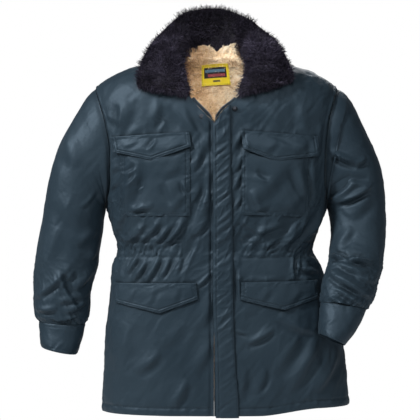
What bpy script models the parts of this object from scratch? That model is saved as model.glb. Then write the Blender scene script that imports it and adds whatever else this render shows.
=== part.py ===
"""A padded work coat with a fur collar, filled out with no wearer.

Metres, +Z up. The front faces -Y, and the wearer's right side is at -X. The origin is at
the middle of the neck, level with the two points where the shoulder seams meet the neck.
Each piece that a maker would cut and sew is its own closed solid. The cloth is a wall:
an outer skin worked out from a table of sections, and an inner skin moved in from it.
"""

import math
from collections import namedtuple

import bmesh
import bpy
from mathutils import Vector

# Driving sizes of the cloth
SEAM_GAP = 0.00035
BODY_WALL = 0.005
SLEEVE_WALL = 0.004
CUFF_WALL = 0.003
LAY_GAP = 0.0008

# Heights of the body
HEM_Z = -0.790
ARMPIT_Z = -0.335
YOKE_Z = -0.153
SHOULDER_Y = 0.005
NECK_HALF = 0.070
SHOULDER_RISE = 0.0165
NECK_RISE = 0.040
NECK_BACK_Y = 0.074
FRONT_EDGE_X = -0.002
BODY_POWER = 2.7
SHOULDER_POWER = 2.3
SCYE_POWER = 2.4
SCYE_FRONT = 0.072
SCYE_BACK = 0.075

# The body's half-widths on the wearer's right and left, and its depths, at each height
Section = namedtuple("Section", "z right left front back")
BODY = [
    Section(-0.800, 0.254, 0.303, 0.128, 0.124),
    Section(-0.740, 0.251, 0.296, 0.128, 0.122),
    Section(-0.680, 0.2475, 0.291, 0.127, 0.120),
    Section(-0.614, 0.244, 0.281, 0.125, 0.118),
    Section(-0.547, 0.236, 0.264, 0.122, 0.114),
    Section(-0.480, 0.229, 0.240, 0.118, 0.108),
    Section(-0.452, 0.221, 0.226, 0.114, 0.102),
    Section(-0.432, 0.2165, 0.217, 0.111, 0.099),
    Section(-0.412, 0.221, 0.223, 0.113, 0.101),
    Section(-0.385, 0.229, 0.233, 0.117, 0.105),
    Section(-0.335, 0.243, 0.250, 0.119, 0.110),
    Section(-0.240, 0.250, 0.258, 0.118, 0.113),
    Section(-0.153, 0.250, 0.258, 0.114, 0.112),
]

# The armhole seam as seen from the front: how far out it lies at each height
Scye = namedtuple("Scye", "z right left")
SCYE = [
    Scye(-0.335, 0.243, 0.250),
    Scye(-0.285, 0.2335, 0.243),
    Scye(-0.212, 0.233, 0.245),
    Scye(-0.153, 0.243, 0.251),
    Scye(-0.108, 0.257, 0.263),
    Scye(-0.070, 0.270, 0.276),
]

# The front neck edge from the bottom of the V up to the shoulder seam
NeckEdge = namedtuple("NeckEdge", "z right left")
NECK_EDGE = [
    NeckEdge(-0.153, 0.002, -0.002),
    NeckEdge(-0.126, 0.030, 0.018),
    NeckEdge(-0.098, 0.054, 0.050),
    NeckEdge(-0.060, 0.063, 0.062),
    NeckEdge(-0.028, 0.069, 0.068),
    NeckEdge(0.000, 0.070, 0.070),
]

# The soft folds of the body: ridges from one end to the other, on the front or the back
Fold = namedtuple("Fold", "face x0 z0 x1 z1 width height")
BODY_FOLDS = [
    Fold(-1, -0.205, -0.406, -0.120, -0.386, 0.014, 0.0068),
    Fold(-1, -0.110, -0.408, -0.045, -0.388, 0.014, 0.0054),
    Fold(-1, -0.215, -0.473, -0.120, -0.459, 0.011, 0.0054),
    Fold(-1, 0.205, -0.406, 0.110, -0.386, 0.014, 0.0068),
    Fold(-1, 0.222, -0.470, 0.150, -0.455, 0.011, 0.0060),
    Fold(-1, 0.110, -0.468, 0.050, -0.455, 0.011, 0.0040),
    Fold(-1, -0.235, -0.330, -0.185, -0.400, 0.021, 0.0081),
    Fold(-1, 0.238, -0.330, 0.195, -0.395, 0.021, 0.0081),
    Fold(-1, -0.110, -0.620, -0.090, -0.740, 0.033, 0.0054),
    Fold(-1, 0.200, -0.600, 0.235, -0.740, 0.036, 0.0068),
    Fold(1, -0.200, -0.395, -0.060, -0.365, 0.021, 0.0068),
    Fold(1, 0.200, -0.390, 0.080, -0.370, 0.021, 0.0068),
    Fold(1, -0.190, -0.490, -0.040, -0.470, 0.021, 0.0068),
    Fold(1, 0.210, -0.500, 0.060, -0.468, 0.021, 0.0068),
    Fold(1, -0.225, -0.240, -0.150, -0.330, 0.024, 0.0081),
    Fold(1, 0.230, -0.240, 0.160, -0.330, 0.024, 0.0081),
    Fold(1, -0.070, -0.600, -0.090, -0.740, 0.038, 0.0054),
    Fold(1, 0.110, -0.600, 0.140, -0.740, 0.038, 0.0054),
]

# Rows of the body's wall: height, share of the gathers' height there, and whether the
# plain inner skin has a row there too
Level = namedtuple("Level", "z gather inner")
LEVELS = [
    Level(HEM_Z, 0, True),
    Level(-0.773, 0, False),
    Level(-0.735, 0, True),
    Level(-0.690, 0, False),
    Level(-0.645, 0, True),
    Level(-0.600, 0, False),
    Level(-0.555, 0, True),
    Level(-0.520, 0, False),
    Level(-0.490, 0, True),
    Level(-0.468, 0.0, False),
    Level(-0.455, 0.5, False),
    Level(-0.444, 1.0, True),
    Level(-0.432, 0.8, False),
    Level(-0.420, 1.0, False),
    Level(-0.409, 0.5, True),
    Level(-0.394, 0.0, False),
    Level(-0.368, 0, True),
    Level(ARMPIT_Z, 0, True),
    Level(-0.331, 0, True),
    Level(-0.320, 0, True),
    Level(-0.298, 0, True),
    Level(-0.265, 0, True),
    Level(-0.225, 0, True),
    Level(-0.188, 0, True),
    Level(YOKE_Z, 0, True),
]

# Rows above the yoke line, as turns from the chest up to the shoulder seam, in degrees
Turn = namedtuple("Turn", "degrees")
TURNS = [Turn(degrees) for degrees in (5, 10, 15, 22, 30, 40, 51, 64, 77, 90)]
COLUMNS = 13
INNER_COLUMNS = 8
ROW_STEPS = 60
GATHER_HEIGHT = 0.0042
FRONT_FLAT_SHARE = 0.21
FRONT_GATHERS = 15
BACK_GATHERS = 17

# The hem hangs higher on the wearer's left side
HEM_LIFT = 0.014
HEM_LIFT_FROM_Z = -0.500
HEM_LIFT_START_X = 0.090
HEM_LIFT_END_X = 0.230

# Sleeves: the outer and inner ends of each ring as seen from the front, how far back its
# middle lies, its half-depth, and how far its front dips. The last CUFF_RINGS rows are
# the cuff band's.
Ring = namedtuple("Ring", "outer_x outer_z inner_x inner_z y deep dip")
SLEEVE_RIGHT = [
    Ring(-0.270, -0.070, -0.2430, -0.3350, 0.002, 0.0735, 0.000),
    Ring(-0.287, -0.091, -0.2442, -0.3357, 0.003, 0.0745, 0.000),
    Ring(-0.304, -0.1165, -0.2446, -0.3370, 0.004, 0.0750, 0.000),
    Ring(-0.322, -0.146, -0.2450, -0.3390, 0.004, 0.0755, 0.000),
    Ring(-0.338, -0.173, -0.2455, -0.3415, 0.003, 0.0760, 0.000),
    Ring(-0.3535, -0.2065, -0.2462, -0.3450, 0.003, 0.0765, 0.000),
    Ring(-0.367, -0.2495, -0.2472, -0.3500, 0.002, 0.0760, 0.000),
    Ring(-0.376, -0.290, -0.2485, -0.3570, 0.001, 0.0750, 0.000),
    Ring(-0.382, -0.328, -0.2500, -0.3660, 0.000, 0.0740, 0.000),
    Ring(-0.388, -0.365, -0.2520, -0.3880, -0.001, 0.0720, 0.000),
    Ring(-0.393, -0.397, -0.2555, -0.4120, -0.003, 0.0700, 0.001),
    Ring(-0.399, -0.430, -0.2600, -0.4410, -0.005, 0.0680, 0.002),
    Ring(-0.403, -0.465, -0.2650, -0.4720, -0.008, 0.0660, 0.003),
    Ring(-0.405, -0.500, -0.2730, -0.5030, -0.011, 0.0630, 0.004),
    Ring(-0.405, -0.530, -0.2790, -0.5300, -0.014, 0.0600, 0.005),
    Ring(-0.404, -0.558, -0.2800, -0.5570, -0.018, 0.0560, 0.006),
    Ring(-0.401, -0.578, -0.2820, -0.5800, -0.021, 0.0500, 0.007),
    Ring(-0.3935, -0.590, -0.2880, -0.5965, -0.023, 0.0425, 0.008),
    Ring(-0.3920, -0.612, -0.2940, -0.6235, -0.026, 0.0435, 0.008),
    Ring(-0.3900, -0.632, -0.3010, -0.6470, -0.030, 0.0450, 0.008),
    Ring(-0.3873, -0.648, -0.3070, -0.6650, -0.033, 0.0460, 0.008),
]
SLEEVE_LEFT = [
    Ring(0.276, -0.070, 0.2500, -0.3350, 0.002, 0.0735, 0.000),
    Ring(0.290, -0.081, 0.2512, -0.3357, 0.003, 0.0745, 0.000),
    Ring(0.303, -0.095, 0.2516, -0.3370, 0.004, 0.0750, 0.000),
    Ring(0.316, -0.1175, 0.2520, -0.3390, 0.003, 0.0755, 0.000),
    Ring(0.331, -0.1505, 0.2526, -0.3415, 0.002, 0.0760, 0.000),
    Ring(0.347, -0.185, 0.2534, -0.3445, 0.001, 0.0765, 0.000),
    Ring(0.362, -0.219, 0.2544, -0.3485, -0.001, 0.0760, 0.000),
    Ring(0.374, -0.257, 0.2556, -0.3535, -0.003, 0.0750, 0.000),
    Ring(0.380, -0.295, 0.2568, -0.3600, -0.005, 0.0730, 0.000),
    Ring(0.3825, -0.334, 0.2580, -0.3690, -0.008, 0.0710, 0.000),
    Ring(0.383, -0.362, 0.2588, -0.3800, -0.013, 0.0690, 0.000),
    Ring(0.382, -0.391, 0.2590, -0.3960, -0.021, 0.0660, 0.000),
    Ring(0.379, -0.418, 0.2570, -0.4160, -0.033, 0.0630, 0.001),
    Ring(0.374, -0.443, 0.2530, -0.4370, -0.048, 0.0600, 0.002),
    Ring(0.368, -0.468, 0.2500, -0.4580, -0.066, 0.0580, 0.003),
    Ring(0.359, -0.494, 0.2420, -0.4830, -0.086, 0.0560, 0.005),
    Ring(0.349, -0.520, 0.2330, -0.5080, -0.106, 0.0540, 0.007),
    Ring(0.339, -0.543, 0.2300, -0.5280, -0.118, 0.0500, 0.009),
    Ring(0.327, -0.560, 0.2280, -0.5430, -0.126, 0.0450, 0.010),
    Ring(0.314, -0.586, 0.2255, -0.5660, -0.134, 0.0465, 0.008),
    Ring(0.298, -0.611, 0.2235, -0.5880, -0.140, 0.0480, 0.005),
    Ring(0.2785, -0.636, 0.2215, -0.6095, -0.144, 0.0495, 0.002),
]
CUFF_RINGS = 3
CUFF_GAP_RINGS = 0.022
SLEEVE_SEGMENTS = 20
SLEEVE_INNER_SEGMENTS = 12
SLEEVE_INNER_STEPS = 2
SCYE_FADE_RINGS = 6.0
SLEEVE_POWER = 2.2

# Sleeve folds: ridges round the tube. Angles are in degrees, 0 at the outer side, 90 at
# the front and 180 at the inner side. Ring places count the sleeve's rows.
Crease = namedtuple("Crease", "ring0 angle0 ring1 angle1 width height")
RIGHT_CREASES = [
    Crease(14.6, 20, 13.6, 120, 0.72, 0.0083),
    Crease(15.6, 120, 15.2, 210, 0.72, 0.0066),
    Crease(11.0, 60, 9.4, 150, 0.96, 0.0083),
    Crease(8.8, 100, 7.2, 170, 0.96, 0.0083),
    Crease(6.0, 20, 8.0, 110, 1.28, 0.0066),
    Crease(12.6, 30, 11.6, 100, 0.96, 0.0066),
    Crease(14.0, 200, 13.0, 300, 0.96, 0.0083),
    Crease(10.0, 210, 8.5, 300, 1.12, 0.0083),
    Crease(12.2, 240, 11.4, 340, 0.96, 0.0066),
]
LEFT_CREASES = [
    Crease(4.2, 20, 5.0, 110, 0.96, 0.0095),
    Crease(6.6, 60, 9.0, 165, 1.12, 0.0095),
    Crease(8.0, 20, 10.0, 110, 0.96, 0.0083),
    Crease(12.6, 25, 12.2, 150, 0.80, 0.0095),
    Crease(13.8, 60, 13.2, 175, 0.80, 0.0095),
    Crease(15.2, 20, 16.0, 120, 0.96, 0.0083),
    Crease(14.4, 100, 15.4, 190, 0.96, 0.0066),
    Crease(17.0, 60, 16.6, 170, 0.72, 0.0083),
    Crease(10.4, 220, 9.0, 310, 1.12, 0.0083),
    Crease(13.4, 230, 12.6, 330, 0.96, 0.0083),
]

# The collar: a fur band from the right front end round the back to the left front end.
# place is -1 at the right end, 0 at the centre back and 1 at the left end. edge is the
# middle of the band's free edge, rise bows the band off the straight line, and lift is how
# far the middle of its sewn edge stands off the neckline.
Band = namedtuple("Band", "place edge_x edge_y edge_z rise lift")
COLLAR = [
    Band(-1.00, -0.173, -0.096, -0.077, 0.010, 0.0068),
    Band(-0.86, -0.169, -0.072, -0.042, 0.014, 0.0080),
    Band(-0.72, -0.157, -0.040, -0.004, 0.020, 0.0100),
    Band(-0.50, -0.135, 0.006, 0.038, 0.020, 0.0068),
    Band(-0.34, -0.104, 0.052, 0.079, 0.018, 0.0040),
    Band(-0.17, -0.058, 0.088, 0.113, 0.012, 0.0050),
    Band(0.00, 0.003, 0.104, 0.122, 0.010, 0.0048),
    Band(0.17, 0.064, 0.086, 0.102, 0.012, 0.0050),
    Band(0.34, 0.104, 0.050, 0.072, 0.018, 0.0040),
    Band(0.50, 0.133, 0.006, 0.038, 0.020, 0.0068),
    Band(0.72, 0.154, -0.040, 0.000, 0.020, 0.0100),
    Band(0.86, 0.168, -0.070, -0.032, 0.014, 0.0080),
    Band(1.00, 0.176, -0.092, -0.060, 0.010, 0.0068),
]
COLLAR_FRONT_END_Z = -0.098
COLLAR_STATIONS = 26
COLLAR_HALF = 0.0095
COLLAR_BASE_HALF = 0.0060
COLLAR_TIP_REACH = 0.007

# The collar's thickness across the band: half of it at each share of the way to the edge
Rib = namedtuple("Rib", "share half")
COLLAR_RIBS = [
    Rib(0.00, COLLAR_BASE_HALF),
    Rib(0.30, COLLAR_HALF),
    Rib(0.62, COLLAR_HALF),
    Rib(0.90, 0.0081),
]

# The sewn edge stands on the neckline at the back and turns to lie on the panels by the front
COLLAR_SEAT = 0.0026
COLLAR_LAP_IN = 0.004
COLLAR_LAP_OUT = 0.008
COLLAR_STANDS_TO = 0.34
COLLAR_LIES_FROM = 0.72
NECK_MIDDLE_Y = -0.020

# Pieces that lie on the front: corners in X and Z on the outer skin
Corner = namedtuple("Corner", "x z")
POCKET_THICK = 0.0025
FLAP_THICK = 0.003
FLAP_CLEARANCE = 0.0030
FLAP_COLUMNS = 13
FLAP_ROWS = 6
CHEST_FLAPS = {
    "chest_flap_right": [Corner(-0.227, -0.1835), Corner(-0.056, -0.1740), Corner(-0.0515, -0.207),
                         Corner(-0.136, -0.2365), Corner(-0.215, -0.218)],
    "chest_flap_left": [Corner(0.0555, -0.1705), Corner(0.223, -0.182), Corner(0.223, -0.2255),
                        Corner(0.1315, -0.2385), Corner(0.0605, -0.2115)],
}
LOWER_FLAPS = {
    "lower_flap_right": [Corner(-0.2195, -0.504), Corner(-0.041, -0.5015), Corner(-0.037, -0.5375),
                         Corner(-0.1195, -0.568), Corner(-0.2165, -0.547)],
    "lower_flap_left": [Corner(0.0565, -0.5005), Corner(0.2235, -0.498), Corner(0.2275, -0.537),
                        Corner(0.151, -0.562), Corner(0.0555, -0.539)],
}
POCKETS = {
    "chest_pocket_right": [Corner(-0.2055, -0.214), Corner(-0.0545, -0.210), Corner(-0.0545, -0.357),
                           Corner(-0.2055, -0.357)],
    "chest_pocket_left": [Corner(0.0575, -0.210), Corner(0.2125, -0.214), Corner(0.2045, -0.359),
                          Corner(0.0575, -0.354)],
}
POCKET_COLUMNS = 9
POCKET_ROWS = 8
POCKET_PUFF = 0.004
PUFF_SINK = 1.7

# The placket laps over the zip: its two edges at each height
Strip = namedtuple("Strip", "z left right")
PLACKET = [
    Strip(-0.793, 0.0015, 0.052),
    Strip(-0.757, 0.0010, 0.051),
    Strip(-0.682, 0.0000, 0.0455),
    Strip(-0.614, -0.0020, 0.042),
    Strip(-0.582, -0.0040, 0.041),
    Strip(-0.500, -0.0048, 0.040),
    Strip(-0.409, -0.0050, 0.0395),
    Strip(-0.374, -0.0048, 0.039),
    Strip(-0.314, -0.0044, 0.037),
    Strip(-0.250, -0.0050, 0.035),
    Strip(-0.169, -0.0055, 0.0347),
    Strip(-0.153, -0.0055, 0.0347),
]
PLACKET_HEIGHTS = [-0.793, -0.770, -0.730, -0.690, -0.650, -0.610, -0.570, -0.530, -0.495, -0.465,
                   -0.448, -0.432, -0.416, -0.395, -0.360, -0.320, -0.280, -0.240, -0.200, -0.169]
PLACKET_THICK = 0.0035
PLACKET_COLUMNS = 3
PLACKET_SETBACK = 0.0015
SLANT_STEP = 0.0005

# Zip tapes along the open V, and the two press studs
TAPE_FROM_Z = YOKE_Z + 0.012
TAPE_TO_Z = COLLAR_FRONT_END_Z - 0.004
TAPE_WIDTH = 0.009
TAPE_THICK = 0.0014
TAPE_DEPTH = 0.0018
TAPE_GAP = 0.0006
TAPE_FOOT_SHARE = 0.4
TAPE_LOOK = 0.002
STUD_RADIUS = 0.0055
STUD_HEIGHT = 0.0026
STUDS = {"press_stud_right": Corner(-0.0285, -0.1405), "press_stud_left": Corner(0.0430, -0.1240)}

# Pile lining at the back of the neck and the woven label on it
LINING_COLUMNS = 13
LINING_ROWS = 10
LINING_CROWDING = 1.3
LINING_THICK = 0.0022
LINING_HALF = 0.098
LINING_LOW_Z = -0.190
LINING_TOP_SHARE = 0.92
LINING_DEPTH = BODY_WALL + 0.0052
LABEL_CENTRE = Corner(0.0035, -0.033)
LABEL_WIDTH = 0.064
LABEL_HEIGHT = 0.045
LABEL_THICK = 0.0008
LABEL_TILT = math.radians(4)
LABEL_COLUMNS = 7
LABEL_ROWS = 6

COLOURS = {
    "shell": ((0.045, 0.072, 0.100, 1), 0.42),
    "fur": ((0.012, 0.012, 0.026, 1), 0.95),
    "pile": ((0.52, 0.40, 0.27, 1), 0.95),
    "label": ((0.72, 0.50, 0.05, 1), 0.7),
    "tape": ((0.06, 0.09, 0.16, 1), 0.7),
    "steel": ((0.55, 0.56, 0.58, 1), 0.3),
    "dark_steel": ((0.05, 0.055, 0.06, 1), 0.35),
}
METALS = ("steel", "dark_steel")


# Small arithmetic helpers

def smooth_value(knots, values, x):
    """Read a smooth curve through (knot, value) pairs, with knots in rising order."""
    if x <= knots[0]:
        return values[0]
    if x >= knots[-1]:
        return values[-1]
    i = max(k for k in range(len(knots) - 1) if knots[k] <= x)
    span = knots[i + 1] - knots[i]
    share = (x - knots[i]) / span
    slope = (values[i + 1] - values[i]) / span

    def slope_at(k):
        if k == 0 or k == len(knots) - 1:
            return slope
        before = (values[k] - values[k - 1]) / (knots[k] - knots[k - 1])
        after = (values[k + 1] - values[k]) / (knots[k + 1] - knots[k])
        if before * after <= 0:
            return 0.0
        return 2 * before * after / (before + after)

    low, high = slope_at(i), slope_at(i + 1)
    s2, s3 = share * share, share ** 3
    return ((2 * s3 - 3 * s2 + 1) * values[i] + (s3 - 2 * s2 + share) * span * low
            + (3 * s2 - 2 * s3) * values[i + 1] + (s3 - s2) * span * high)


def table_value(rows, key, name, x):
    """Read one named column of a table at x along its key column."""
    return smooth_value([getattr(r, key) for r in rows], [getattr(r, name) for r in rows], x)


def ease(low, high, x):
    """0 below low, 1 above high, and smooth between."""
    share = min(1.0, max(0.0, (x - low) / (high - low)))
    return share * share * (3 - 2 * share)


def side_name(side):
    """The wearer's right is at -X."""
    return "right" if side < 0 else "left"


# The outer skin of the body. side is -1 or 1 for X, face is -1 at the front, 1 at the back,
# and reach is the distance from the centre line, always counted outward.

def depth(face, z):
    return table_value(BODY, "z", "front" if face < 0 else "back", min(z, YOKE_Z))


def scye_x(side, z):
    return table_value(SCYE, "z", side_name(side), z)


def scye_y(face, z):
    """How far the armhole seam lies in front of or behind the shoulder line."""
    top = SCYE[-1].z
    share = abs(z - (ARMPIT_Z + top) / 2) / ((top - ARMPIT_Z) / 2)
    size = SCYE_FRONT if face < 0 else SCYE_BACK
    return size * max(0.0, 1 - share ** SCYE_POWER) ** (1 / SCYE_POWER)


def half_width(side, face, z):
    """Half-width of the section, widened above the armpit so that it meets the armhole."""
    if z <= ARMPIT_Z:
        return table_value(BODY, "z", side_name(side), z)
    z = min(z, YOKE_Z)
    inside = 1 - (scye_y(face, z) / depth(face, z)) ** BODY_POWER
    return scye_x(side, z) / inside ** (1 / BODY_POWER)


def section_y(side, face, reach, z):
    wide = half_width(side, face, z)
    return face * depth(face, z) * max(0.0, 1 - (abs(reach) / wide) ** BODY_POWER) ** (1 / BODY_POWER)


def ridge_z(side, reach):
    """Height of the shoulder seam, carried on inside the neck so that the skin goes on."""
    tip = SCYE[-1]
    share = (reach - NECK_HALF) / (getattr(tip, side_name(side)) - NECK_HALF)
    if share < 0:
        return NECK_RISE * (1 - (reach / NECK_HALF) ** 2)
    return tip.z * share + SHOULDER_RISE * math.sin(math.pi * min(1.0, share ** 1.5))


def skin_y(side, face, reach, z):
    """Y of the outer skin at any place below the shoulder seam."""
    if z <= YOKE_Z:
        return section_y(side, face, reach, z)
    share = min(1.0, (z - YOKE_Z) / (ridge_z(side, reach) - YOKE_Z))
    chest = section_y(side, face, reach, YOKE_Z)
    return SHOULDER_Y + (chest - SHOULDER_Y) * (1 - share ** SHOULDER_POWER) ** (1 / SHOULDER_POWER)


def skin_field(side, face, p):
    """Below 1 inside the body and above 1 outside. Its gradient is the skin's normal."""
    reach = side * p.x
    if p.z <= YOKE_Z:
        return ((abs(reach) / half_width(side, face, p.z)) ** BODY_POWER
                + (abs(p.y) / depth(face, p.z)) ** BODY_POWER)
    chest = section_y(side, face, reach, YOKE_Z)
    return (abs((p.y - SHOULDER_Y) / (chest - SHOULDER_Y)) ** SHOULDER_POWER
            + ((p.z - YOKE_Z) / (ridge_z(side, reach) - YOKE_Z)) ** SHOULDER_POWER)


def skin_normal(side, face, p):
    step = 0.00005
    parts = []
    for axis in (Vector((step, 0, 0)), Vector((0, step, 0)), Vector((0, 0, step))):
        ahead, behind = p + axis, p - axis
        if p.z <= YOKE_Z:
            ahead.z, behind.z = min(ahead.z, YOKE_Z), min(behind.z, YOKE_Z)
        else:
            ahead.z, behind.z = max(ahead.z, YOKE_Z + step), max(behind.z, YOKE_Z + step)
        parts.append(skin_field(side, face, ahead) - skin_field(side, face, behind))
    return Vector(parts).normalized()


def on_skin(side, face, p, lift):
    """The skin's place nearest to p, moved out by lift."""
    step = 0.0002
    for _ in range(5):
        normal = skin_normal(side, face, p)
        here = skin_field(side, face, p)
        p = p + normal * (1 - here) * step / (skin_field(side, face, p + normal * step) - here)
    return p + skin_normal(side, face, p) * lift


def fold_height(face, x, z):
    """How far the soft folds lift the skin."""
    height = 0.0
    for fold in BODY_FOLDS:
        if fold.face != face:
            continue
        along_x, along_z = fold.x1 - fold.x0, fold.z1 - fold.z0
        length = math.hypot(along_x, along_z)
        share = ((x - fold.x0) * along_x + (z - fold.z0) * along_z) / length ** 2
        if not 0 < share < 1:
            continue
        away = ((x - fold.x0) * along_z - (z - fold.z0) * along_x) / length
        height += fold.height * math.sin(math.pi * share) * math.exp(-(away / fold.width) ** 2)
    return height


def hang(p):
    """Lift the lower part of the wearer's left side, where the hem hangs higher."""
    fall = ease(0, 1, (HEM_LIFT_FROM_Z - p.z) / (HEM_LIFT_FROM_Z - HEM_Z))
    return Vector((p.x, p.y, p.z + HEM_LIFT * fall * ease(HEM_LIFT_START_X, HEM_LIFT_END_X, p.x)))


def front_point(x, z, lift):
    """A place on the front's outer skin, moved out by lift."""
    side = -1 if x < 0 else 1
    p = Vector((x, skin_y(side, -1, side * x, z), z))
    return hang(p + skin_normal(side, -1, p) * (lift + fold_height(-1, x, z)))


# Rows of the panels. A mark is one place on a row: its share of the way along, its place
# on the skin, and the skin's normal there.
Mark = namedtuple("Mark", "share point normal")


def row_marks(side, face, place_at, start, end, shares_for):
    """Marks along a row. shares_for gives the shares, from the row's length on the cloth."""
    route = [place_at(start + (end - start) * i / ROW_STEPS) for i in range(ROW_STEPS + 1)]
    lengths = [0.0]
    for a, b in zip(route, route[1:]):
        lengths.append(lengths[-1] + (b - a).length)
    marks = []
    for name, share in shares_for(lengths[-1]):
        target = share * lengths[-1]
        i = max(k for k in range(ROW_STEPS) if lengths[k] <= target + 1e-9)
        part = (target - lengths[i]) / (lengths[i + 1] - lengths[i])
        p = place_at(start + (end - start) * (i + part) / ROW_STEPS)
        marks.append(Mark(name, p, skin_normal(side, face, p)))
    return marks


def own_shares(shares):
    """The same shares on every row, whatever its length."""
    return lambda length: [(share, share) for share in shares]


def straight_columns(columns, full, start):
    """Columns that keep their distance from the centre line, cut off at the row's ends."""
    def shares_for(length):
        first, last = start / full, (start + length) / full
        inside = [i / (columns - 1) for i in range(columns)]
        margin = 0.35 / (columns - 1)
        kept = [c for c in inside if first + margin < c < last - margin]
        return [(c, (c - first) / (last - first)) for c in [first] + kept + [last]]
    return shares_for


def level_row(side, face, z, start, shares_for):
    """A row of one height, from the reach start to the side seam or the armhole."""
    wide = half_width(side, face, z)
    end = math.pi / 2
    if z > ARMPIT_Z:
        end = math.asin((scye_x(side, z) / wide) ** (BODY_POWER / 2))

    def place_at(angle):
        reach = wide * math.copysign(abs(math.sin(angle)) ** (2 / BODY_POWER), angle)
        flat = max(0.0, math.cos(angle)) if end < math.pi / 2 or angle < end - 1e-9 else 0.0
        return Vector((side * reach, face * depth(face, z) * flat ** (2 / BODY_POWER), z))

    begin = math.copysign(math.asin((abs(start) / wide) ** (BODY_POWER / 2)), start)
    return row_marks(side, face, place_at, begin, end, shares_for)


def reach_on_turn(side, share, edge):
    """The reach at which an edge, given by height, crosses a share of the shoulder's rise."""
    reach = edge(YOKE_Z)
    for _ in range(40):
        reach = edge(YOKE_Z + share * (ridge_z(side, reach) - YOKE_Z))
    return reach


def front_neck(side, z):
    return table_value(NECK_EDGE, "z", side_name(side), z)


def back_neck_turn(side, reach):
    """The angle at which the back's skin meets the neckline, 90 degrees outside the neck."""
    if reach >= NECK_HALF:
        return math.pi / 2
    neck_y = SHOULDER_Y + (NECK_BACK_Y - SHOULDER_Y) * math.sqrt(1 - (reach / NECK_HALF) ** 2)
    chest = section_y(side, 1, reach, YOKE_Z)
    return math.acos(((neck_y - SHOULDER_Y) / (chest - SHOULDER_Y)) ** (SHOULDER_POWER / 2))


def turn_start(side, face, degrees):
    """The reach at which a row above the yoke line starts: the front's neck edge."""
    if face > 0:
        return 0.0
    share_up = math.sin(math.radians(degrees)) ** (2 / SHOULDER_POWER)
    return reach_on_turn(side, share_up, lambda z: front_neck(side, z))


def turn_row(side, face, degrees, shares_for):
    """A row above the yoke line. On the back its turn shrinks inside the neck."""
    turn = math.radians(degrees)
    share_up = math.sin(turn) ** (2 / SHOULDER_POWER)
    start = turn_start(side, face, degrees)
    end = reach_on_turn(side, share_up, lambda z: scye_x(side, z))

    def place_at(reach):
        here = turn
        if face > 0:
            here = turn * back_neck_turn(side, reach) / (math.pi / 2)
        rise = math.sin(here) ** (2 / SHOULDER_POWER)
        chest = section_y(side, face, reach, YOKE_Z)
        flat = max(0.0, math.cos(here)) ** (2 / SHOULDER_POWER) if here < math.pi / 2 - 1e-9 else 0.0
        z = YOKE_Z + rise * (ridge_z(side, reach) - YOKE_Z)
        return Vector((side * reach, SHOULDER_Y + (chest - SHOULDER_Y) * flat, z))

    return row_marks(side, face, place_at, start, end, shares_for)


def even_shares(count):
    return [i / (count - 1) for i in range(count)]


def gather_shares(flat_share, gathers):
    """Shares at the foot and the crest of each gather, with the flat part before them."""
    shares = [0.0, flat_share / 2]
    for i in range(2 * gathers + 1):
        sway = 0.22 * math.sin(2.1 * i) + 0.14 * math.sin(5.3 * i + 1)
        inner = 0 < i < 2 * gathers
        shares.append(flat_share + (1 - flat_share) * (i + (sway if inner else 0)) / (2 * gathers))
    return shares


def gather_heights(flat_share, gathers):
    heights = [0.0, 0.0]
    for i in range(2 * gathers + 1):
        heights.append(0.0 if i % 2 == 0 else GATHER_HEIGHT * (0.8 + 0.2 * math.sin(1.7 * i)))
    return heights


def centre_start(side, face):
    """Where a panel's rows start: the front edge, or the back's centre line."""
    return side * FRONT_EDGE_X + SEAM_GAP / 2 if face < 0 else 0.0


def armpit_length(side, face):
    """Length of the panel's row at the armpit, from the centre line to the side seam."""
    ends = level_row(side, face, ARMPIT_Z, centre_start(side, face), own_shares(even_shares(ROW_STEPS)))
    return sum((b.point - a.point).length for a, b in zip(ends, ends[1:]))


def plain_row(side, face, row, columns):
    """One row of the skin in even columns, with no folds."""
    start = centre_start(side, face)
    if isinstance(row, Turn):
        start = turn_start(side, face, row.degrees)
        return turn_row(side, face, row.degrees, straight_columns(columns, FULL[side, face], start))
    if row.z > ARMPIT_Z:
        return level_row(side, face, row.z, start, straight_columns(columns, FULL[side, face], start))
    return level_row(side, face, row.z, start, own_shares(even_shares(columns)))


def outer_row(side, face, row):
    """One row of the outer skin, from the centre line to the seam, with folds and gathers."""
    if isinstance(row, Level) and row.gather:
        flat_share, gathers = (FRONT_FLAT_SHARE, FRONT_GATHERS) if face < 0 else (0.0, BACK_GATHERS)
        shares = gather_shares(flat_share, gathers)
        lifts = [h * row.gather for h in gather_heights(flat_share, gathers)]
        if face > 0:
            shares, lifts = shares[2:], lifts[2:]
        marks = level_row(side, face, row.z, centre_start(side, face), own_shares(shares))
    else:
        marks = plain_row(side, face, row, COLUMNS)
        lifts = [0.0] * len(marks)
    lifted = []
    for i, mark in enumerate(marks):
        fold = 0.0 if i == len(marks) - 1 else fold_height(face, mark.point.x, mark.point.z)
        lifted.append(mark._replace(point=mark.point + mark.normal * (fold + lifts[i])))
    return lifted


def has_inner(row):
    """Whether the plain inner skin has this row too, as it does on every turn."""
    return isinstance(row, Turn) or row.inner


def inner_row(side, face, row, wall):
    """The same row of the plain inner skin."""
    return [m._replace(point=m.point - m.normal * wall) for m in plain_row(side, face, row, INNER_COLUMNS)]


def open_seam(face, row, marks):
    """Pull the side and shoulder seams back by half the gap."""
    half = Vector((0, face * SEAM_GAP / 2, 0))
    if isinstance(row, Turn):
        if row.degrees < 90:
            return marks
        return [m._replace(point=m.point + half) if abs(m.point.x) > NECK_HALF - 1e-6 else m
                for m in marks]
    if row.z > ARMPIT_Z:
        return marks
    return marks[:-1] + [marks[-1]._replace(point=marks[-1].point + half)]


# Length of each panel's row at the armpit, which sets the columns above it
FULL = {(side, face): armpit_length(side, face) for side in (-1, 1) for face in (-1, 1)}


# Meshes

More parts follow.
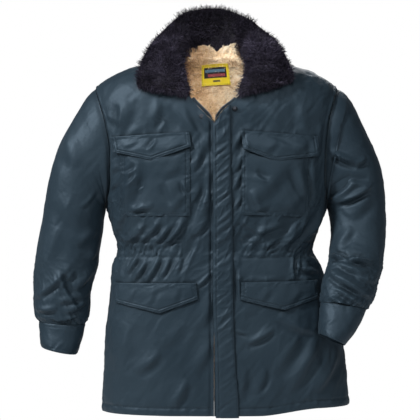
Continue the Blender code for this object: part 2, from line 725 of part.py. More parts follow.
class Mesh:
    """Points and faces of one closed solid."""

    def __init__(self):
        self.points = []
        self.faces = []

    def add(self, marks):
        """Add a row of marks and return it as (share, index) pairs."""
        first = len(self.points)
        self.points.extend(hang(m.point) for m in marks)
        return [(m.share, first + i) for i, m in enumerate(marks)]

    def strip(self, a, b):
        """Fill between two rows by stepping along both in order of their shares."""
        i = j = 0
        while i < len(a) - 1 or j < len(b) - 1:
            step_a = i < len(a) - 1 and (j == len(b) - 1 or a[i + 1][0] <= b[j + 1][0])
            if step_a:
                self.face(a[i][1], a[i + 1][1], b[j][1])
                i += 1
            else:
                self.face(a[i][1], b[j + 1][1], b[j][1])
                j += 1

    def face(self, *corners):
        if len(set(corners)) == 3:
            self.faces.append(corners)

    def finish(self, name, colour):
        mesh = bpy.data.meshes.new(name)
        mesh.from_pydata([tuple(p) for p in self.points], [], self.faces)
        work = bmesh.new()
        work.from_mesh(mesh)
        loose = [v for v in work.verts if not v.link_faces]
        bmesh.ops.delete(work, geom=loose, context="VERTS")
        bmesh.ops.recalc_face_normals(work, faces=work.faces)
        work.to_mesh(mesh)
        work.free()
        mesh.shade_smooth()
        mesh.set_sharp_from_angle(angle=math.radians(40))
        mesh.materials.append(material(colour))
        piece = bpy.data.objects.new(name, mesh)
        bpy.context.scene.collection.objects.link(piece)
        return piece


def material(name):
    found = bpy.data.materials.get(name)
    if found:
        return found
    colour, rough = COLOURS[name]
    made = bpy.data.materials.new(name)
    made.use_nodes = True
    shader = made.node_tree.nodes["Principled BSDF"]
    shader.inputs["Base Color"].default_value = colour
    shader.inputs["Roughness"].default_value = rough
    shader.inputs["Metallic"].default_value = 1.0 if name in METALS else 0.0
    return made


def wall_between(mesh, outer, inner):
    """Close a sheet: outer and inner rows, given as (place, row) from bottom to top."""
    for (_, low), (_, high) in zip(outer, outer[1:]):
        mesh.strip(low, high)
    for (_, low), (_, high) in zip(inner, inner[1:]):
        mesh.strip(low, high)
    mesh.strip(outer[0][1], inner[0][1])
    mesh.strip(outer[-1][1], inner[-1][1])
    for end in (0, -1):
        mesh.strip([(place, row[end][1]) for place, row in outer],
                   [(place, row[end][1]) for place, row in inner])


def build_front(side):
    """One front panel, from its centre edge to the side seam, armhole and shoulder seam."""
    rows = LEVELS + TURNS
    mesh = Mesh()
    outer = [(i, mesh.add(open_seam(-1, row, outer_row(side, -1, row)))) for i, row in enumerate(rows)]
    inner = [(i, mesh.add(open_seam(-1, row, inner_row(side, -1, row, BODY_WALL))))
             for i, row in enumerate(rows) if has_inner(row)]
    wall_between(mesh, outer, inner)
    mesh.finish("front_" + side_name(side), "shell")


def both_sides(row_of_side):
    """Join the back's right and left half rows into one row through the centre back."""
    right, left = row_of_side(-1), row_of_side(1)
    return [m._replace(share=-m.share) for m in reversed(right)] + left[1:]


def build_back():
    """The back panel, in one piece from side seam to side seam."""
    rows = LEVELS + TURNS
    mesh = Mesh()
    outer = []
    inner = []
    for i, row in enumerate(rows):
        outer.append((i, mesh.add(both_sides(lambda s: open_seam(1, row, outer_row(s, 1, row))))))
        if has_inner(row):
            inner.append((i, mesh.add(both_sides(
                lambda s: open_seam(1, row, inner_row(s, 1, row, BODY_WALL))))))
    wall_between(mesh, outer, inner)
    mesh.finish("back", "shell")


# Sleeves and cuffs

Loop = namedtuple("Loop", "angle outer inner")


def scye_loop(side):
    """The armhole seam as one closed loop: angle, outer and inner place, moved off the panels."""
    points = []
    for face in (-1, 1):
        rows = [row for row in LEVELS if row.z >= ARMPIT_Z] + TURNS
        if face > 0:
            rows = rows[1:-1]
        for row in rows:
            mark = plain_row(side, face, row, COLUMNS)[-1]
            middle, half = (SCYE[-1].z + ARMPIT_Z) / 2, (SCYE[-1].z - ARMPIT_Z) / 2
            turn = math.acos(max(-1.0, min(1.0, (mark.point.z - middle) / half)))
            points.append((turn if face < 0 else 2 * math.pi - turn, mark))
    points.sort(key=lambda item: item[0])
    loop = []
    count = len(points)
    for i, (angle, mark) in enumerate(points):
        along = (points[(i + 1) % count][1].point - points[i - 1][1].point).normalized()
        away = along.cross(mark.normal).normalized()
        if away.x * side < 0 and abs(away.x) > 0.3 or (angle > 2.6 and angle < 3.7 and away.z < 0):
            away = -away
        shift = away * SEAM_GAP + mark.normal * SEAM_GAP * 0.4
        loop.append(Loop(angle, mark.point + shift, mark.point - mark.normal * SLEEVE_WALL + away * SEAM_GAP))
    return loop


def ring_frame(rings, t):
    """Middle, outward half-axis and forward half-axis of the tube at ring place t."""
    keys = list(range(len(rings)))

    def read(name, at):
        return smooth_value(keys, [getattr(r, name) for r in rings], at)

    def middle_at(at):
        return Vector(((read("outer_x", at) + read("inner_x", at)) / 2, read("y", at),
                       (read("outer_z", at) + read("inner_z", at)) / 2))

    middle = middle_at(t)
    outward = Vector(((read("outer_x", t) - read("inner_x", t)) / 2, 0,
                      (read("outer_z", t) - read("inner_z", t)) / 2))
    axis = middle_at(min(t + 0.5, keys[-1])) - middle_at(max(t - 0.5, 0))
    forward = axis.cross(outward).normalized()
    if forward.y > 0:
        forward = -forward
    return middle, outward, forward * read("deep", t) - Vector((0, 0, read("dip", t)))


def round_place(angle, power):
    c, s = math.cos(angle), math.sin(angle)
    return (math.copysign(abs(c) ** (2 / power), c), math.copysign(abs(s) ** (2 / power), s))


def loop_offset(loop, rings, angle):
    """How far the armhole loop lies from the first ring's plain round, at an angle."""
    full = 2 * math.pi
    angles = [item.angle for item in loop]
    places = [item.outer for item in loop]
    angles = [angles[-1] - full] + angles + [angles[0] + full]
    places = [places[-1]] + places + [places[0]]
    i = max(k for k in range(len(angles) - 1) if angles[k] <= angle + 1e-9)
    share = (angle - angles[i]) / (angles[i + 1] - angles[i])
    on_loop = places[i].lerp(places[i + 1], share)
    middle, outward, forward = ring_frame(rings, 0)
    c, s = round_place(angle, SLEEVE_POWER)
    return on_loop - (middle + outward * c + forward * s)


def crease_height(creases, t, angle):
    height = 0.0
    for crease in creases:
        turn0, turn1 = math.radians(crease.angle0), math.radians(crease.angle1)
        share = (angle - turn0) / (turn1 - turn0)
        if not 0 < share < 1:
            continue
        away = (t - (crease.ring0 + (crease.ring1 - crease.ring0) * share)) / crease.width
        height += crease.height * math.sin(math.pi * share) ** 0.7 * math.exp(-away * away)
    return height


def tube_row(rings, t, count, lift_at, loop=None):
    """One closed ring of the tube, its first place repeated at a full turn."""
    middle, outward, forward = ring_frame(rings, t)
    fade = max(0.0, 1 - t / SCYE_FADE_RINGS) ** 2
    marks = []
    for i in range(count):
        angle = 2 * math.pi * i / count
        c, s = round_place(angle, SLEEVE_POWER)
        p = middle + outward * c + forward * s
        if loop and fade > 0:
            p = p + loop_offset(loop, rings, angle) * fade
        out = (p - middle).normalized()
        marks.append(Mark(angle, p + out * lift_at(t, angle), out))
    return marks


def add_ring(mesh, marks):
    row = mesh.add(marks)
    return row + [(row[0][0] + 2 * math.pi, row[0][1])]


def tube_wall(mesh, outer, inner):
    """Close a tube whose rings run from its top to its mouth."""
    for a, b in zip(outer, outer[1:]):
        mesh.strip(a, b)
    for a, b in zip(inner, inner[1:]):
        mesh.strip(a, b)
    mesh.strip(outer[0], inner[0])
    mesh.strip(outer[-1], inner[-1])


def build_sleeve(side, rings, creases):
    """A sleeve from the armhole seam down to the cuff seam."""
    mesh = Mesh()
    loop = scye_loop(side)
    last = len(rings) - 1 - CUFF_RINGS

    def lift_at(t, angle):
        return crease_height(creases, t, angle)

    def inner_marks(t):
        return tube_row(rings, t, SLEEVE_INNER_SEGMENTS, lambda *_: -SLEEVE_WALL, loop)

    outer = [add_ring(mesh, [Mark(p.angle, p.outer, None) for p in loop])]
    for t in range(1, last + 1):
        outer.append(add_ring(mesh, tube_row(rings, t, SLEEVE_SEGMENTS, lift_at, loop)))
    inner = [add_ring(mesh, [Mark(p.angle, p.inner, None) for p in loop])]
    places = list(range(2, last, SLEEVE_INNER_STEPS)) + [last]
    inner.extend(add_ring(mesh, inner_marks(t)) for t in places)
    tube_wall(mesh, outer, inner)
    mesh.finish("sleeve_" + side_name(side), "shell")


def build_cuff(side, rings):
    """The cuff band under the sleeve: a short plain tube."""
    mesh = Mesh()
    last = len(rings) - 1
    first = last - CUFF_RINGS
    places = [first + CUFF_GAP_RINGS] + list(range(first + 1, last + 1))
    outer = [add_ring(mesh, tube_row(rings, t, SLEEVE_SEGMENTS, lambda *_: 0.0)) for t in places]
    inner = [add_ring(mesh, tube_row(rings, t, SLEEVE_INNER_SEGMENTS, lambda *_: -CUFF_WALL))
             for t in (places[0], places[2], last)]
    tube_wall(mesh, outer, inner)
    mesh.finish("cuff_" + side_name(side), "shell")


# The collar

def neck_base(place):
    """The neckline's place and normal at a collar place."""
    side = -1 if place < 0 else 1
    if abs(place) > 0.5:
        share = (abs(place) - 0.5) / 0.5
        z = COLLAR_FRONT_END_Z * share
        reach = front_neck(side, z)
        p = Vector((side * reach, skin_y(side, -1, reach, z), z))
        return p, skin_normal(side, -1, p)
    reach = NECK_HALF * math.sin(abs(place) * math.pi)
    turn = back_neck_turn(side, min(reach, NECK_HALF))
    share = math.sin(turn) ** (2 / SHOULDER_POWER)
    z = YOKE_Z + share * (ridge_z(side, reach) - YOKE_Z)
    p = Vector((side * reach, skin_y(side, 1, reach, z), z))
    return p, skin_normal(side, 1, p)


def seam_corners(place, along):
    """The upper and under corner of the band's sewn edge, set on the panel's own skin."""
    seat, normal = neck_base(place)
    outward = normal.cross(along).normalized()
    if outward.dot(Vector((seat.x, seat.y - NECK_MIDDLE_Y, 0))) < 0:
        outward = -outward
    standing = 1 - ease(COLLAR_STANDS_TO, COLLAR_LIES_FROM, abs(place))
    side, face = (-1 if place < 0 else 1), (-1 if abs(place) > 0.5 else 1)
    under = on_skin(side, face, seat + outward * COLLAR_LAP_OUT * standing, COLLAR_SEAT)
    lying = normal * 2 * COLLAR_BASE_HALF * (1 - standing)
    return seat + normal * COLLAR_SEAT + lying - outward * COLLAR_LAP_IN * standing, under


def collar_line(place):
    """Base, free edge and rise of the band at a place."""
    base, normal = neck_base(place)
    lift = table_value(COLLAR, "place", "lift", place)
    edge = Vector([table_value(COLLAR, "place", name, place) for name in ("edge_x", "edge_y", "edge_z")])
    return base + normal * lift, edge, table_value(COLLAR, "place", "rise", place)


def build_collar():
    """The fur band, as thick as its pile, round the neck from front end to front end."""
    mesh = Mesh()
    steps = [-1 + 2 * i / (COLLAR_STATIONS - 1) for i in range(COLLAR_STATIONS)]
    rows = []
    for place in steps:
        base, edge, rise = collar_line(place)
        before, _, _ = collar_line(max(-1.0, place - 0.03))
        after, _, _ = collar_line(min(1.0, place + 0.03))
        across = edge - base
        inward = across.cross(after - before).normalized()
        if inward.y > 0 and abs(place) > 0.75 or (abs(place) <= 0.75 and inward.z < 0 and inward.y > 0):
            inward = -inward
        halves = [rib.half for rib in COLLAR_RIBS]
        spine = [base + across * r.share + inward * rise * 4 * r.share * (1 - r.share) for r in COLLAR_RIBS]
        tip = edge + across.normalized() * COLLAR_TIP_REACH
        upper = [p + inward * h for p, h in zip(spine, halves)]
        under = [p - inward * h for p, h in zip(spine, halves)]
        upper[0], under[0] = seam_corners(place, (after - before).normalized())
        section = upper + [tip] + under[::-1]
        rows.append([Mark(i, p, inward) for i, p in enumerate(section)])
    rings = []
    for marks in rows:
        row = mesh.add(marks)
        rings.append(row + [(len(row), row[0][1])])
    for a, b in zip(rings, rings[1:]):
        mesh.strip(a, b)
    for ring in (rings[0], rings[-1]):
        order = [index for _, index in ring[:-1]]
        half = len(order) // 2
        near = [(i, order[i]) for i in range(half + 1)]
        far = [(i, order[-i - 1]) for i in range(half)]
        mesh.strip(near, far)
    mesh.finish("collar_fur", "fur")


# Pieces that lie on the fronts

def lay_piece(name, colour, rows, under, thick, puff=0.0):
    """A piece made from the front's own points, moved out. rows are lists of Corner."""
    mesh = Mesh()
    count = len(rows)
    top, low = [], []
    for j, row in enumerate(rows):
        last = len(row) - 1
        high = []
        base = []
        for i, corner in enumerate(row):
            swell = puff * math.sin(math.pi * i / last) * math.sin(math.pi * (j / (count - 1)) ** PUFF_SINK)
            lift = under(j / (count - 1))
            base.append(Mark(i / last, front_point(corner.x, corner.z, lift), None))
            high.append(Mark(i / last, front_point(corner.x, corner.z, lift + thick + swell), None))
        top.append((j, add_plain(mesh, high)))
        low.append((j, add_plain(mesh, base)))
    wall_between(mesh, top, low)
    return mesh.finish(name, colour)


def add_plain(mesh, marks):
    """Add marks whose places already hang as they should."""
    first = len(mesh.points)
    mesh.points.extend(m.point for m in marks)
    return [(m.share, first + i) for i, m in enumerate(marks)]


def mix(a, b, share):
    return Corner(a.x + (b.x - a.x) * share, a.z + (b.z - a.z) * share)


def four_sided(corners, columns, rows):
    """Rows across a four-cornered piece: top left, top right, bottom right, bottom left."""
    tl, tr, br, bl = corners
    grid = []
    for j in range(rows):
        left = mix(tl, bl, j / (rows - 1))
        right = mix(tr, br, j / (rows - 1))
        grid.append([mix(left, right, i / (columns - 1)) for i in range(columns)])
    return grid


def pointed(corners, columns, rows):
    """Rows down a flap whose lower edge comes to a soft point."""
    tl, tr, br, tip, bl = corners
    tip_share = (tip.x - bl.x) / (br.x - bl.x)
    grid = []
    for j in range(rows):
        row = []
        for i in range(columns):
            share = i / (columns - 1)
            top = mix(tl, tr, share)
            if share <= tip_share:
                low = mix(bl, tip, share / tip_share)
            else:
                low = mix(tip, br, (share - tip_share) / (1 - tip_share))
            row.append(mix(top, low, j / (rows - 1)))
        grid.append(row)
    return grid


def build_pockets():
    for name, corners in POCKETS.items():
        rows = four_sided(corners, POCKET_COLUMNS, POCKET_ROWS)
        lay_piece(name, "shell", rows, lambda v: LAY_GAP, POCKET_THICK, POCKET_PUFF)


def build_flaps():
    over = LAY_GAP + POCKET_THICK + FLAP_CLEARANCE

    def chest_lift(v):
        return LAY_GAP + (over - LAY_GAP) * ease(0.0, 0.45, v)

    for name, corners in CHEST_FLAPS.items():
        lay_piece(name, "shell", pointed(corners, FLAP_COLUMNS, FLAP_ROWS), chest_lift, FLAP_THICK)
    for name, corners in LOWER_FLAPS.items():
        lay_piece(name, "shell", pointed(corners, FLAP_COLUMNS, FLAP_ROWS), lambda v: LAY_GAP, FLAP_THICK)


def build_placket():
    """The strip over the zip, from the V down to the hem."""
    rows = []
    for z in PLACKET_HEIGHTS:
        left, right = table_value(PLACKET, "z", "left", z), table_value(PLACKET, "z", "right", z)
        rows.append([Corner(left + (right - left) * i / PLACKET_COLUMNS, z)
                     for i in range(PLACKET_COLUMNS + 1)])
    top = PLACKET[-1]
    slant = []
    for i in range(PLACKET_COLUMNS + 1):
        x = top.left + (top.right - top.left) * i / PLACKET_COLUMNS
        z = YOKE_Z - PLACKET_SETBACK
        while front_neck(1, z) + PLACKET_SETBACK < x and z < COLLAR_FRONT_END_Z:
            z += SLANT_STEP
        slant.append(Corner(x, z - PLACKET_SETBACK))
    rows.append(slant)
    lay_piece("placket", "shell", rows, lambda v: LAY_GAP, PLACKET_THICK)


def tape_stations(side):
    """Places up the V on the panel's own edge, each with the way along and the skin's normal."""
    edge = [plain_row(side, -1, row, COLUMNS)[0] for row in LEVELS[-1:] + TURNS]

    def edge_at(z):
        i = max(k for k in range(len(edge) - 1) if edge[k].point.z <= z)
        share = (z - edge[i].point.z) / (edge[i + 1].point.z - edge[i].point.z)
        return edge[i].point.lerp(edge[i + 1].point, share)

    inside = [mark.point.z for mark in edge if TAPE_FROM_Z < mark.point.z < TAPE_TO_Z]
    for z in [TAPE_FROM_Z] + inside + [TAPE_TO_Z]:
        along = (edge_at(z + TAPE_LOOK) - edge_at(z - TAPE_LOOK)).normalized()
        place = edge_at(z)
        yield place, along, skin_normal(side, -1, place)


def build_tape(side):
    """The zip tape along one arm of the V, standing in from the panel's edge, its foot narrow."""
    mesh = Mesh()
    rows = []
    for i, (edge, along, normal) in enumerate(tape_stations(side)):
        inward = along.cross(normal).normalized()
        if inward.x * side > 0:
            inward = -inward
        narrow = TAPE_FOOT_SHARE if i == 0 else 1.0
        near, far = edge + inward * TAPE_GAP, edge + inward * (TAPE_GAP + TAPE_WIDTH * narrow)
        top, low = normal * -TAPE_DEPTH, normal * -(TAPE_DEPTH + TAPE_THICK)
        rows.append([Mark(0, near + top, None), Mark(1, far + top, None),
                     Mark(2, far + low, None), Mark(3, near + low, None)])
    rings = []
    for marks in rows:
        row = add_plain(mesh, marks)
        rings.append(row + [(4, row[0][1])])
    for a, b in zip(rings, rings[1:]):
        mesh.strip(a, b)
    for ring in (rings[0], rings[-1]):
        order = [index for _, index in ring[:-1]]
        mesh.strip([(0, order[0]), (1, order[1])], [(0, order[3]), (1, order[2])])
    mesh.finish("zip_tape_" + side_name(side), "tape")


def build_stud(name, place):
    """A press stud's round cap, domed, lying on the front near the V."""
    side = -1 if place.x < 0 else 1
    seat = Vector((place.x, skin_y(side, -1, side * place.x, place.z), place.z))
    out = skin_normal(side, -1, seat)
    mesh = bpy.data.meshes.new(name)
    work = bmesh.new()
    profile = [(0.0, 0.0), (STUD_RADIUS, 0.0), (STUD_RADIUS, STUD_HEIGHT * 0.45),
               (STUD_RADIUS * 0.8, STUD_HEIGHT * 0.85), (STUD_RADIUS * 0.4, STUD_HEIGHT), (0.0, STUD_HEIGHT)]
    verts = [work.verts.new((r, 0, h)) for r, h in profile]
    edges = [work.edges.new((a, b)) for a, b in zip(verts, verts[1:])]
    bmesh.ops.spin(work, geom=verts + edges, axis=(0, 0, 1), cent=(0, 0, 0), steps=16,
                   angle=2 * math.pi, use_merge=True)
    bmesh.ops.remove_doubles(work, verts=work.verts, dist=0.00001)
    bmesh.ops.recalc_face_normals(work, faces=work.faces)
    work.to_mesh(mesh)
    work.free()
    mesh.shade_smooth()
    mesh.set_sharp_from_angle(angle=math.radians(40))
    mesh.materials.append(material("steel" if side < 0 else "dark_steel"))
    stud = bpy.data.objects.new(name, mesh)
    stud.location = seat + out * LAY_GAP
    stud.rotation_euler = out.to_track_quat("Z", "Y").to_euler()
    bpy.context.scene.collection.objects.link(stud)


# Inside the neck

def back_inside(x, share, lift):
    """A place inside the back: share runs from the lining's foot up to the neckline."""
    side = -1 if x < 0 else 1
    reach = abs(x)
    turn = back_neck_turn(side, min(reach, NECK_HALF))
    top = YOKE_Z + math.sin(turn * LINING_TOP_SHARE) ** (2 / SHOULDER_POWER) * (ridge_z(side, reach) - YOKE_Z)
    z = LINING_LOW_Z + (top - LINING_LOW_Z) * share
    p = Vector((x, skin_y(side, 1, reach, z), z))
    return p - skin_normal(side, 1, p) * lift


def build_lining():
    """The pile lining where it shows inside the back of the neck."""
    mesh = Mesh()
    near, far = [], []
    for j in range(LINING_ROWS):
        share = 1 - (1 - j / (LINING_ROWS - 1)) ** LINING_CROWDING
        for store, lift in ((near, LINING_DEPTH + LINING_THICK), (far, LINING_DEPTH)):
            marks = []
            for i in range(LINING_COLUMNS):
                x = -LINING_HALF + 2 * LINING_HALF * i / (LINING_COLUMNS - 1)
                marks.append(Mark(i, back_inside(x, share, lift), None))
            store.append((j, add_plain(mesh, marks)))
    wall_between(mesh, near, far)
    mesh.finish("lining_back", "pile")


def build_label():
    """A bare woven label on the lining, made from the lining's points, moved in."""
    mesh = Mesh()
    near, far = [], []
    depth_in = LINING_DEPTH + LINING_THICK + LAY_GAP
    for j in range(LABEL_ROWS):
        for store, lift in ((near, depth_in + LABEL_THICK), (far, depth_in)):
            marks = []
            for i in range(LABEL_COLUMNS):
                across = LABEL_WIDTH * (i / (LABEL_COLUMNS - 1) - 0.5)
                up = LABEL_HEIGHT * (j / (LABEL_ROWS - 1) - 0.5)
                x = LABEL_CENTRE.x + across * math.cos(LABEL_TILT) - up * math.sin(LABEL_TILT)
                z = LABEL_CENTRE.z + across * math.sin(LABEL_TILT) + up * math.cos(LABEL_TILT)
                side = -1 if x < 0 else 1
                p = Vector((x, skin_y(side, 1, abs(x), z), z))
                marks.append(Mark(i, p - skin_normal(side, 1, p) * lift, None))
            store.append((j, add_plain(mesh, marks)))
    wall_between(mesh, near, far)
    mesh.finish("neck_label", "label")


for old in list(bpy.data.objects):
    bpy.data.objects.remove(old, do_unlink=True)

build_front(-1)
build_front(1)
build_back()
build_sleeve(-1, SLEEVE_RIGHT, RIGHT_CREASES)
build_sleeve(1, SLEEVE_LEFT, LEFT_CREASES)
build_cuff(-1, SLEEVE_RIGHT)
build_cuff(1, SLEEVE_LEFT)
build_collar()
build_pockets()
build_flaps()
build_placket()
build_tape(-1)
build_tape(1)
for stud_name, stud_place in STUDS.items():
    build_stud(stud_name, stud_place)
build_lining()
build_label()
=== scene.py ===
"""Looks for a padded work coat with a fur collar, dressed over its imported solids.

Metres, +Z up. The front faces -Y, and the wearer's right side is at -X. Each piece of
cloth has its own section below, in the order in which the coat is put together.
"""

import math
from collections import namedtuple

import bmesh
import bpy
import numpy as np
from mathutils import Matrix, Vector, noise
from mathutils.bvhtree import BVHTree


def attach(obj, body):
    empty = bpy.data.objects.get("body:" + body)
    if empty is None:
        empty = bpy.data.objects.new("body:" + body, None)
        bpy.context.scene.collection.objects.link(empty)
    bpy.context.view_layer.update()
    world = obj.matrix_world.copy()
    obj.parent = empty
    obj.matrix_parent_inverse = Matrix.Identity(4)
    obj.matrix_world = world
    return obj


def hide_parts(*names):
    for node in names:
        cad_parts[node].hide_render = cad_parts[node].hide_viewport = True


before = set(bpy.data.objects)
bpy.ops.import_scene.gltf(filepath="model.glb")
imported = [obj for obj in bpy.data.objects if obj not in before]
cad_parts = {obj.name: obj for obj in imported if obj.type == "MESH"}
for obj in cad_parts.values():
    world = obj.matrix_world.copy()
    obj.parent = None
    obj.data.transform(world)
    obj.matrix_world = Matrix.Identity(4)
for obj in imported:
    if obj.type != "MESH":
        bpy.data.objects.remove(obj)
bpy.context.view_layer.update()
scene = bpy.context.scene


def add_object(name, data):
    """A new object that holds the data, in the scene."""
    made = bpy.data.objects.new(name, data)
    scene.collection.objects.link(made)
    return made


def add_mesh(name, points, faces):
    """A new mesh from its points and faces."""
    mesh = bpy.data.meshes.new(name)
    mesh.from_pydata(points, [], faces)
    return mesh


def table(kind, *rows):
    """A table of named rows."""
    return [kind(*row) for row in rows]


def aimed_at(place, aim):
    """The rotation of a lamp at one place that shines at another."""
    return (Vector(aim) - Vector(place)).to_track_quat("-Z", "Y").to_euler()


# The camera: level with the middle of the coat and straight in front of it, as the
# photograph was taken, with the coat's centre line a little right of the frame's middle.
PHOTO_PIXELS = 420
PIXEL_SIZE = 0.00225
CENTRE_PIXEL = 215
CAMERA_AWAY = 3.2
CAMERA_HEIGHT = -0.344

camera_data = bpy.data.cameras.new("camera")
camera_data.sensor_width = 36
camera_data.lens = camera_data.sensor_width * CAMERA_AWAY / (PHOTO_PIXELS * PIXEL_SIZE)
camera_data.shift_x = (PHOTO_PIXELS / 2 - CENTRE_PIXEL) / PHOTO_PIXELS
camera = add_object("camera", camera_data)
camera.location = (0, -CAMERA_AWAY, CAMERA_HEIGHT)
camera.rotation_euler = (math.radians(90), 0, 0)
scene.camera = camera


# The studio: a white floor below the hanging coat, a white surround, one soft light high
# on the left, weaker ones from the right, from the front and from behind, and a narrow
# one that reaches into the neck.
FLOOR_Z = -1.30
FLOOR_RADIUS = 2.9
FLOOR_WHITE = (0.86, 0.86, 0.86, 1)
AMBIENT = 0.075
Lamp = namedtuple("Lamp", "name place aim size power")
LAMPS = [
    Lamp("key", (-2.65, -1.95, 2.2), (0.0, 0.0, -0.25), 0.6, 148),
    Lamp("fill", (2.8, -2.2, 0.4), (0.0, 0.0, -0.40), 1.8, 8),
    Lamp("front", (0.4, -3.1, 2.1), (0.0, 0.0, -0.15), 0.6, 34),
    Lamp("back", (0.6, 2.6, 1.6), (0.0, 0.0, -0.20), 1.6, 30),
]
NECK_LAMP = Lamp("neck", (-0.06, -1.5, 0.42), (0.0, 0.06, -0.055), 0.10, 100)
NECK_LAMP_CONE = math.radians(7.0)

floor_mesh = bpy.data.meshes.new("floor")
floor_work = bmesh.new()
bmesh.ops.create_circle(floor_work, cap_ends=True, segments=96, radius=FLOOR_RADIUS)
floor_work.to_mesh(floor_mesh)
floor_work.free()
floor = add_object("floor", floor_mesh)
floor.location = (0, 0, FLOOR_Z)
floor_paint = bpy.data.materials.new("white_floor")
floor_paint.use_nodes = True
floor_shader = floor_paint.node_tree.nodes["Principled BSDF"]
floor_shader.inputs["Base Color"].default_value = FLOOR_WHITE
floor_shader.inputs["Roughness"].default_value = 0.9
floor_mesh.materials.append(floor_paint)

for lamp in LAMPS:
    light = bpy.data.lights.new(lamp.name, "AREA")
    light.shape = "DISK"
    light.size = lamp.size
    light.energy = lamp.power
    holder = add_object(lamp.name, light)
    holder.location = lamp.place
    holder.rotation_euler = aimed_at(lamp.place, lamp.aim)

spot = bpy.data.lights.new(NECK_LAMP.name, "SPOT")
spot.energy = NECK_LAMP.power
spot.shadow_soft_size = NECK_LAMP.size
spot.spot_size = NECK_LAMP_CONE
spot.spot_blend = 0.6
neck_light = add_object(NECK_LAMP.name, spot)
neck_light.location = NECK_LAMP.place
neck_light.rotation_euler = aimed_at(NECK_LAMP.place, NECK_LAMP.aim)

surround = bpy.data.worlds.new("white_surround")
surround.use_nodes = True
scene.world = surround
sky = surround.node_tree
sky_seen = sky.nodes.new("ShaderNodeLightPath")
sky_mix = sky.nodes.new("ShaderNodeMixShader")
sky_white = sky.nodes.new("ShaderNodeBackground")
sky_white.inputs["Color"].default_value = (1, 1, 1, 1)
sky_white.inputs["Strength"].default_value = 1.0
sky_dim = sky.nodes["Background"]
sky_dim.inputs["Color"].default_value = (0.92, 0.96, 1.0, 1)
sky_dim.inputs["Strength"].default_value = AMBIENT
sky.links.new(sky_seen.outputs["Is Camera Ray"], sky_mix.inputs["Fac"])
sky.links.new(sky_dim.outputs["Background"], sky_mix.inputs[1])
sky.links.new(sky_white.outputs["Background"], sky_mix.inputs[2])
sky.links.new(sky_mix.outputs["Shader"], sky.nodes["World Output"].inputs["Surface"])
scene.view_settings.view_transform = "Standard"


# The front and back panels: padded satin nylon in slate blue, cut as a right front, a left
# front and one back, and joined down the sides and along the shoulders. The form is that
# of the solids: sections of the body by height, then turns over the chest to the shoulder.
HEM_Z = -0.790
ARMPIT_Z = -0.335
YOKE_Z = -0.153
SHOULDER_Y = 0.005
NECK_HALF = 0.070
NECK_RISE = 0.040
SHOULDER_RISE = 0.0165
NECK_BACK_Y = 0.074
FRONT_EDGE_X = -0.002
BODY_POWER = 2.7
SHOULDER_POWER = 2.3
SCYE_POWER = 2.4
SCYE_DEPTH = {-1: 0.072, 1: 0.075}
BODY_WALL = 0.0045
SEAM_GAP = 0.0004
HEM_LIFT = 0.014
HEM_LIFT_FROM_Z = -0.500
HEM_LIFT_X = (0.090, 0.230)
COLLAR_FRONT_END_Z = -0.098

Section = namedtuple("Section", "z right left front back")
BODY = table(
    Section,
    (-0.8, 0.254, 0.303, 0.128, 0.124),
    (-0.74, 0.251, 0.296, 0.128, 0.122),
    (-0.68, 0.2475, 0.291, 0.127, 0.12),
    (-0.614, 0.244, 0.281, 0.125, 0.118),
    (-0.547, 0.236, 0.264, 0.122, 0.114),
    (-0.48, 0.229, 0.24, 0.118, 0.108),
    (-0.452, 0.221, 0.226, 0.114, 0.102),
    (-0.432, 0.2165, 0.217, 0.111, 0.099),
    (-0.412, 0.221, 0.223, 0.113, 0.101),
    (-0.385, 0.229, 0.233, 0.117, 0.105),
    (-0.335, 0.243, 0.25, 0.119, 0.11),
    (-0.24, 0.25, 0.258, 0.118, 0.113),
    (-0.153, 0.25, 0.258, 0.114, 0.112),
)
Scye = namedtuple("Scye", "z right left")
SCYE = table(
    Scye,
    (-0.335, 0.243, 0.25),
    (-0.285, 0.2335, 0.243),
    (-0.212, 0.233, 0.245),
    (-0.153, 0.243, 0.251),
    (-0.108, 0.257, 0.263),
    (-0.07, 0.27, 0.276),
)
NeckEdge = namedtuple("NeckEdge", "z right left")
NECK_EDGE = table(
    NeckEdge,
    (-0.153, 0.002, -0.002),
    (-0.126, 0.03, 0.018),
    (-0.098, 0.054, 0.05),
    (-0.06, 0.063, 0.062),
    (-0.028, 0.069, 0.068),
    (0.0, 0.07, 0.07),
)


def smooth(knots, values, at):
    """Read a smooth curve through (knot, value) pairs, at one place or many."""
    knots, values = np.asarray(knots, float), np.asarray(values, float)
    at = np.clip(at, knots[0], knots[-1])
    i = np.clip(np.searchsorted(knots, at, side="right") - 1, 0, len(knots) - 2)
    span = np.diff(knots)
    rise = np.diff(values) / span
    same = rise[:-1] * rise[1:] > 0
    total = np.where(same, rise[:-1] + rise[1:], 1)
    slope = np.concatenate([rise[:1], np.where(same, 2 * rise[:-1] * rise[1:] / total, 0), rise[-1:]])
    s = (at - knots[i]) / span[i]
    return ((2 * s ** 3 - 3 * s ** 2 + 1) * values[i] + (s ** 3 - 2 * s ** 2 + s) * span[i] * slope[i]
            + (3 * s ** 2 - 2 * s ** 3) * values[i + 1] + (s ** 3 - s ** 2) * span[i] * slope[i + 1])


def read(rows, key, name, at):
    """Read a named column of a table at places along its key column."""
    return smooth([getattr(r, key) for r in rows], [getattr(r, name) for r in rows], at)


def ease(low, high, x):
    """A smooth rise from 0 at low to 1 at high."""
    share = np.clip((x - low) / (high - low), 0, 1)
    return share * share * (3 - 2 * share)


def near(away, width):
    """1 at a line and falling to 0 beside it, by how far away each place is."""
    return np.exp(-(away / width) ** 2)


def signed_power(values, power):
    """The power of each value's size, with the value's own sign."""
    return np.sign(values) * np.abs(values) ** power


def lengths_along(route):
    """Distance of each place of a route from its start."""
    return np.concatenate([[0], np.cumsum(np.linalg.norm(np.diff(route, axis=0), axis=1))])


